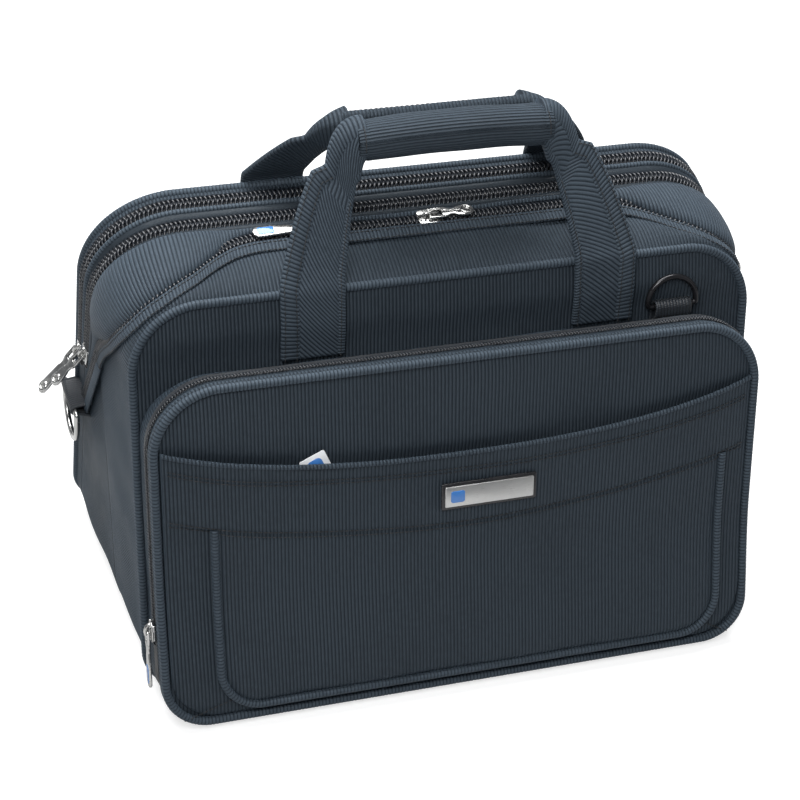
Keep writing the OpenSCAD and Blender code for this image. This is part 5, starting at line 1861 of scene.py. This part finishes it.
        # name plate, left blank, with its enamel square
        lo, hi = node_box("plate_surround")
        o = front_at((lo[0] + hi[0]) / 2, SLIP_TOP - 30 * MM, SLIP_OFF + 1.8 * MM)
        w, h, rim = (hi[0] - lo[0]) / 2, 9.5 * MM, 2.2 * MM
        for name, shape, low, high, bevel, material, slot, node in (
                ("frame", round_rect(-w, -h, w, h, 1.2 * MM), 0.0, 1.8, 0.6, "black_plastic", "black_plastic",
                 "plate_surround"),
                ("metal", round_rect(rim - w, rim - h, w - rim, h - rim, 0.9 * MM), 1.2, 2.7, 0.45,
                 "brushed_plate",
                 "nickel", "name_plate"),
                ("enamel", round_rect(-w + 6 * MM, -4.2 * MM, -w + 15.5 * MM, 4.2 * MM, 1.6 * MM), 2.3, 3.1,
                 0.25,
                 "enamel", "enamel", "plate_inlay")):
            plate = slab_data(shape, low * MM, high * MM, bevel * MM, o, ACROSS, FRONT_UP, FRONT_OUT)
            fitted("plate_" + name, plate, material, "pocket_flap", slot, node)
        # card tag tucked in the slip pocket
        tilt = math.radians(24)
        ex = math.cos(tilt) * ACROSS + math.sin(tilt) * FRONT_UP
        ey = -math.sin(tilt) * ACROSS + math.cos(tilt) * FRONT_UP
        o = front_at(-104 * MM, SLIP_TOP - 11 * MM, POCKET_D + 3.4 * MM)
        card = slab_data(round_rect(0, 0, 18 * MM, 19 * MM, 1.5 * MM), 0, 0.7 * MM, 0.2 * MM, o, ex, ey,
                         FRONT_OUT)
        fitted("tag_card", card, "card", "pocket_flap", "card", "swing_tag")
        patch = slab_data(round_rect(4 * MM, 7 * MM, 14 * MM, 16 * MM, 3 * MM), 0.65 * MM, 0.95 * MM,
                          0.1 * MM, o,
                          ex, ey, FRONT_OUT)
        fitted("tag_patch", patch, "enamel", "pocket_flap", "enamel")
        return {"FINISHED"}


class FLIGHTBAG_OT_inside(bpy.types.Operator):
    """Builds the padded dividers and the organiser and finishes the base board"""
    bl_idname = "flightbag.inside"
    bl_label = "Dividers and organiser"

    def execute(self, context):
        for node, body in (("front_divider", "mid_shell"), ("rear_divider", "core")):
            lo, hi = node_box(node)
            height = math.hypot(hi[1] - lo[1] - 4 * MM, hi[2] - lo[2])
            points = np.array([v.co for v in frame["nodes"][node].data.vertices])
            low_y = points[points[:, 2] < lo[2] + 12 * MM, 1].mean()
            high_y = points[points[:, 2] > hi[2] - 12 * MM, 1].mean()
            up = unit(np.array([0, high_y - low_y, hi[2] - lo[2]]))
            out = np.array([0, -up[2], up[1]])
            x, v, edge = panel_grid(hi[0] - lo[0] - 1 * MM, 0.5 * MM, height - 0.5 * MM, (20 * MM, 41 * MM),
                                    60, 50)
            pad = 0.4 * MM + 1.3 * MM * (1 - np.exp(-np.clip(edge, 0, None) / (9 * MM)))
            base = np.array([0, low_y, lo[2]])
            middle = base + x[..., None] * ACROSS + v[..., None] * up
            front, back = middle + pad[..., None] * out, middle - pad[..., None] * out
            cols, rows = x.shape
            count = cols * rows
            faces = [grid_faces(cols, rows, 0), grid_faces(cols, rows, count, flip=True)]
            ring = np.concatenate([np.arange(rows), np.arange(1, cols) * rows + rows - 1,
                                   (cols - 1) * rows + np.arange(rows - 2, -1, -1), np.arange(cols - 2, 0,
                                                                                              -1) * rows])
            nxt = np.roll(ring, -1)
            faces.append(np.stack([ring, nxt, nxt + count, ring + count], -1))
            verts = np.concatenate([front.reshape(-1, 3), back.reshape(-1, 3)])
            uv = np.concatenate([np.stack([x, v], -1).reshape(-1, 2)] * 2)
            piece = add_mesh(node + "_pad", verts, np.concatenate(faces), mat("lining_cloth"), body,
                             "lining", uv)
            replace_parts(piece, node)
        for node, name in (("organiser_pouch", "lining_cloth"), ("base_board", "stiff_board")):
            obj = frame["nodes"][node]
            if not obj.material_slots:
                obj.data.materials.append(mat(name))
            for held in obj.material_slots:
                held.material = mat(name)
        return {"FINISHED"}


class FLIGHTBAG_OT_stage(bpy.types.Operator):
    """Builds the floor, the lights and the camera"""
    bl_idname = "flightbag.stage"
    bl_label = "Floor, lights and camera"

    def execute(self, context):
        stage = settings("stage")
        scene = context.scene
        reach = 6.0
        floor = bpy.data.meshes.new("floor")
        floor.from_pydata([(-reach, -reach, 0), (reach, -reach, 0), (reach, reach, 0), (-reach, reach, 0)],
                          [],
                          [(0, 1, 2, 3)])
        material, w, bsdf, _, _ = shader("pale_floor")
        bsdf.inputs["Base Color"].default_value = (0.50, 0.50, 0.50, 1)
        bsdf.inputs["Roughness"].default_value = 0.9
        # the floor looks white to the camera but throws less light back on the bag
        seen, glow, mixed, choose = [w.node("ShaderNode" + kind) for kind in (
            "LightPath", "Emission", "AddShader", "MixShader")]
        glow.inputs[1].default_value = stage.floor_glow
        w.put(mixed.inputs[0], bsdf.outputs[0])
        w.put(mixed.inputs[1], glow.outputs[0])
        w.put(choose.inputs[0], seen.outputs["Is Camera Ray"])
        w.put(choose.inputs[1], bsdf.outputs[0])
        w.put(choose.inputs[2], mixed.outputs[0])
        w.put(w.tree.nodes["Material Output"].inputs["Surface"], choose.outputs[0])
        floor.materials.append(material)
        obj = bpy.data.objects.new("floor", floor)
        scene.collection.objects.link(obj)
        world = bpy.data.worlds.new("studio")
        world.use_nodes = True
        world.node_tree.nodes["Background"].inputs[0].default_value = (0.93, 0.96, 1.0, 1)
        world.node_tree.nodes["Background"].inputs[1].default_value = 0.22
        scene.world = world
        lo, hi = [np.array(c) for c in CAD_BOX]
        middle = (lo + hi) / 2

        def soft_light(name, place, size, power):
            data = bpy.data.lights.new(name, "AREA")
            data.shape = "RECTANGLE"
            data.size, data.size_y = size
            data.energy = power
            lamp = bpy.data.objects.new(name, data)
            lamp.location = Vector(place)
            aim = Vector(middle) - Vector(place)
            lamp.rotation_euler = aim.to_track_quat("-Z", "Y").to_euler()
            scene.collection.objects.link(lamp)

        soft_light("key", (-0.40, -0.72, 1.10), (0.6, 0.5), stage.key_power)
        soft_light("fill", (1.8, -1.1, 1.1), (1.2, 1.2), stage.fill_power)
        soft_light("top", (-0.1, 0.55, 1.9), (1.8, 1.1), stage.top_power)
        # camera: to the left of the front, above it, and rolled a little
        yaw, tilt, roll, distance = (math.radians(19.82), math.radians(36.0), math.radians(4.48), 1.496)
        target = np.array([-15.6 * MM, 0.0, 149.9 * MM])
        back = np.array([-math.sin(yaw) * math.cos(tilt), -math.cos(yaw) * math.cos(tilt), math.sin(tilt)])
        right = unit(np.cross(-back, [0, 0, 1]))
        up = np.cross(right, -back)
        r2 = right * math.cos(roll) + up * math.sin(roll)
        u2 = -right * math.sin(roll) + up * math.cos(roll)
        data = bpy.data.cameras.new("camera")
        data.lens = stage.lens
        data.sensor_width = 36.0
        data.clip_start, data.clip_end = 0.05, 50
        camera = bpy.data.objects.new("camera", data)
        turn = Matrix((r2, u2, back)).transposed().to_4x4()
        turn.translation = Vector(target + back * distance)
        camera.matrix_world = turn
        scene.collection.objects.link(camera)
        scene.camera = camera
        scene.view_settings.view_transform = "Standard"
        return {"FINISHED"}


class FLIGHTBAG_PT_panel(bpy.types.Panel):
    """Sidebar panel that lists the bag's settings and pieces"""
    bl_idname = "FLIGHTBAG_PT_panel"
    bl_label = "Flight Bag"
    bl_space_type = "VIEW_3D"
    bl_region_type = "UI"
    bl_category = "Flight Bag"

    def draw(self, context):
        for key, group in GROUP_CLASSES.items():
            box = self.layout.box()
            for name in group.__annotations__:
                box.prop(getattr(context.scene, "flightbag_" + key), name)
        for operator in OPERATORS:
            self.layout.operator(operator.bl_idname)


GROUP_CLASSES = {"cloth": FLIGHTBAG_PG_cloth, "zips": FLIGHTBAG_PG_zips, "stitches": FLIGHTBAG_PG_stitches,
                 "metal": FLIGHTBAG_PG_metal, "stage": FLIGHTBAG_PG_stage}
OPERATORS = (FLIGHTBAG_OT_stage, FLIGHTBAG_OT_sides, FLIGHTBAG_OT_bands, FLIGHTBAG_OT_panels,
             FLIGHTBAG_OT_piping,
             FLIGHTBAG_OT_zips, FLIGHTBAG_OT_pocket, FLIGHTBAG_OT_handles, FLIGHTBAG_OT_hardware,
             FLIGHTBAG_OT_inside)


def register():
    for cls in tuple(GROUP_CLASSES.values()) + OPERATORS + (FLIGHTBAG_PT_panel,):
        bpy.utils.register_class(cls)
    for key, group in GROUP_CLASSES.items():
        setattr(bpy.types.Scene, "flightbag_" + key, bpy.props.PointerProperty(type=group))


def unregister():
    for key in GROUP_CLASSES:
        delattr(bpy.types.Scene, "flightbag_" + key)
    for cls in (FLIGHTBAG_PT_panel,) + OPERATORS[::-1] + tuple(GROUP_CLASSES.values())[::-1]:
        bpy.utils.unregister_class(cls)


def main():
    register()
    build_materials()
    for operator in OPERATORS:
        group, name = operator.bl_idname.split(".")
        getattr(getattr(bpy.ops, group), name)()


if __name__ == "__main__":
    main()
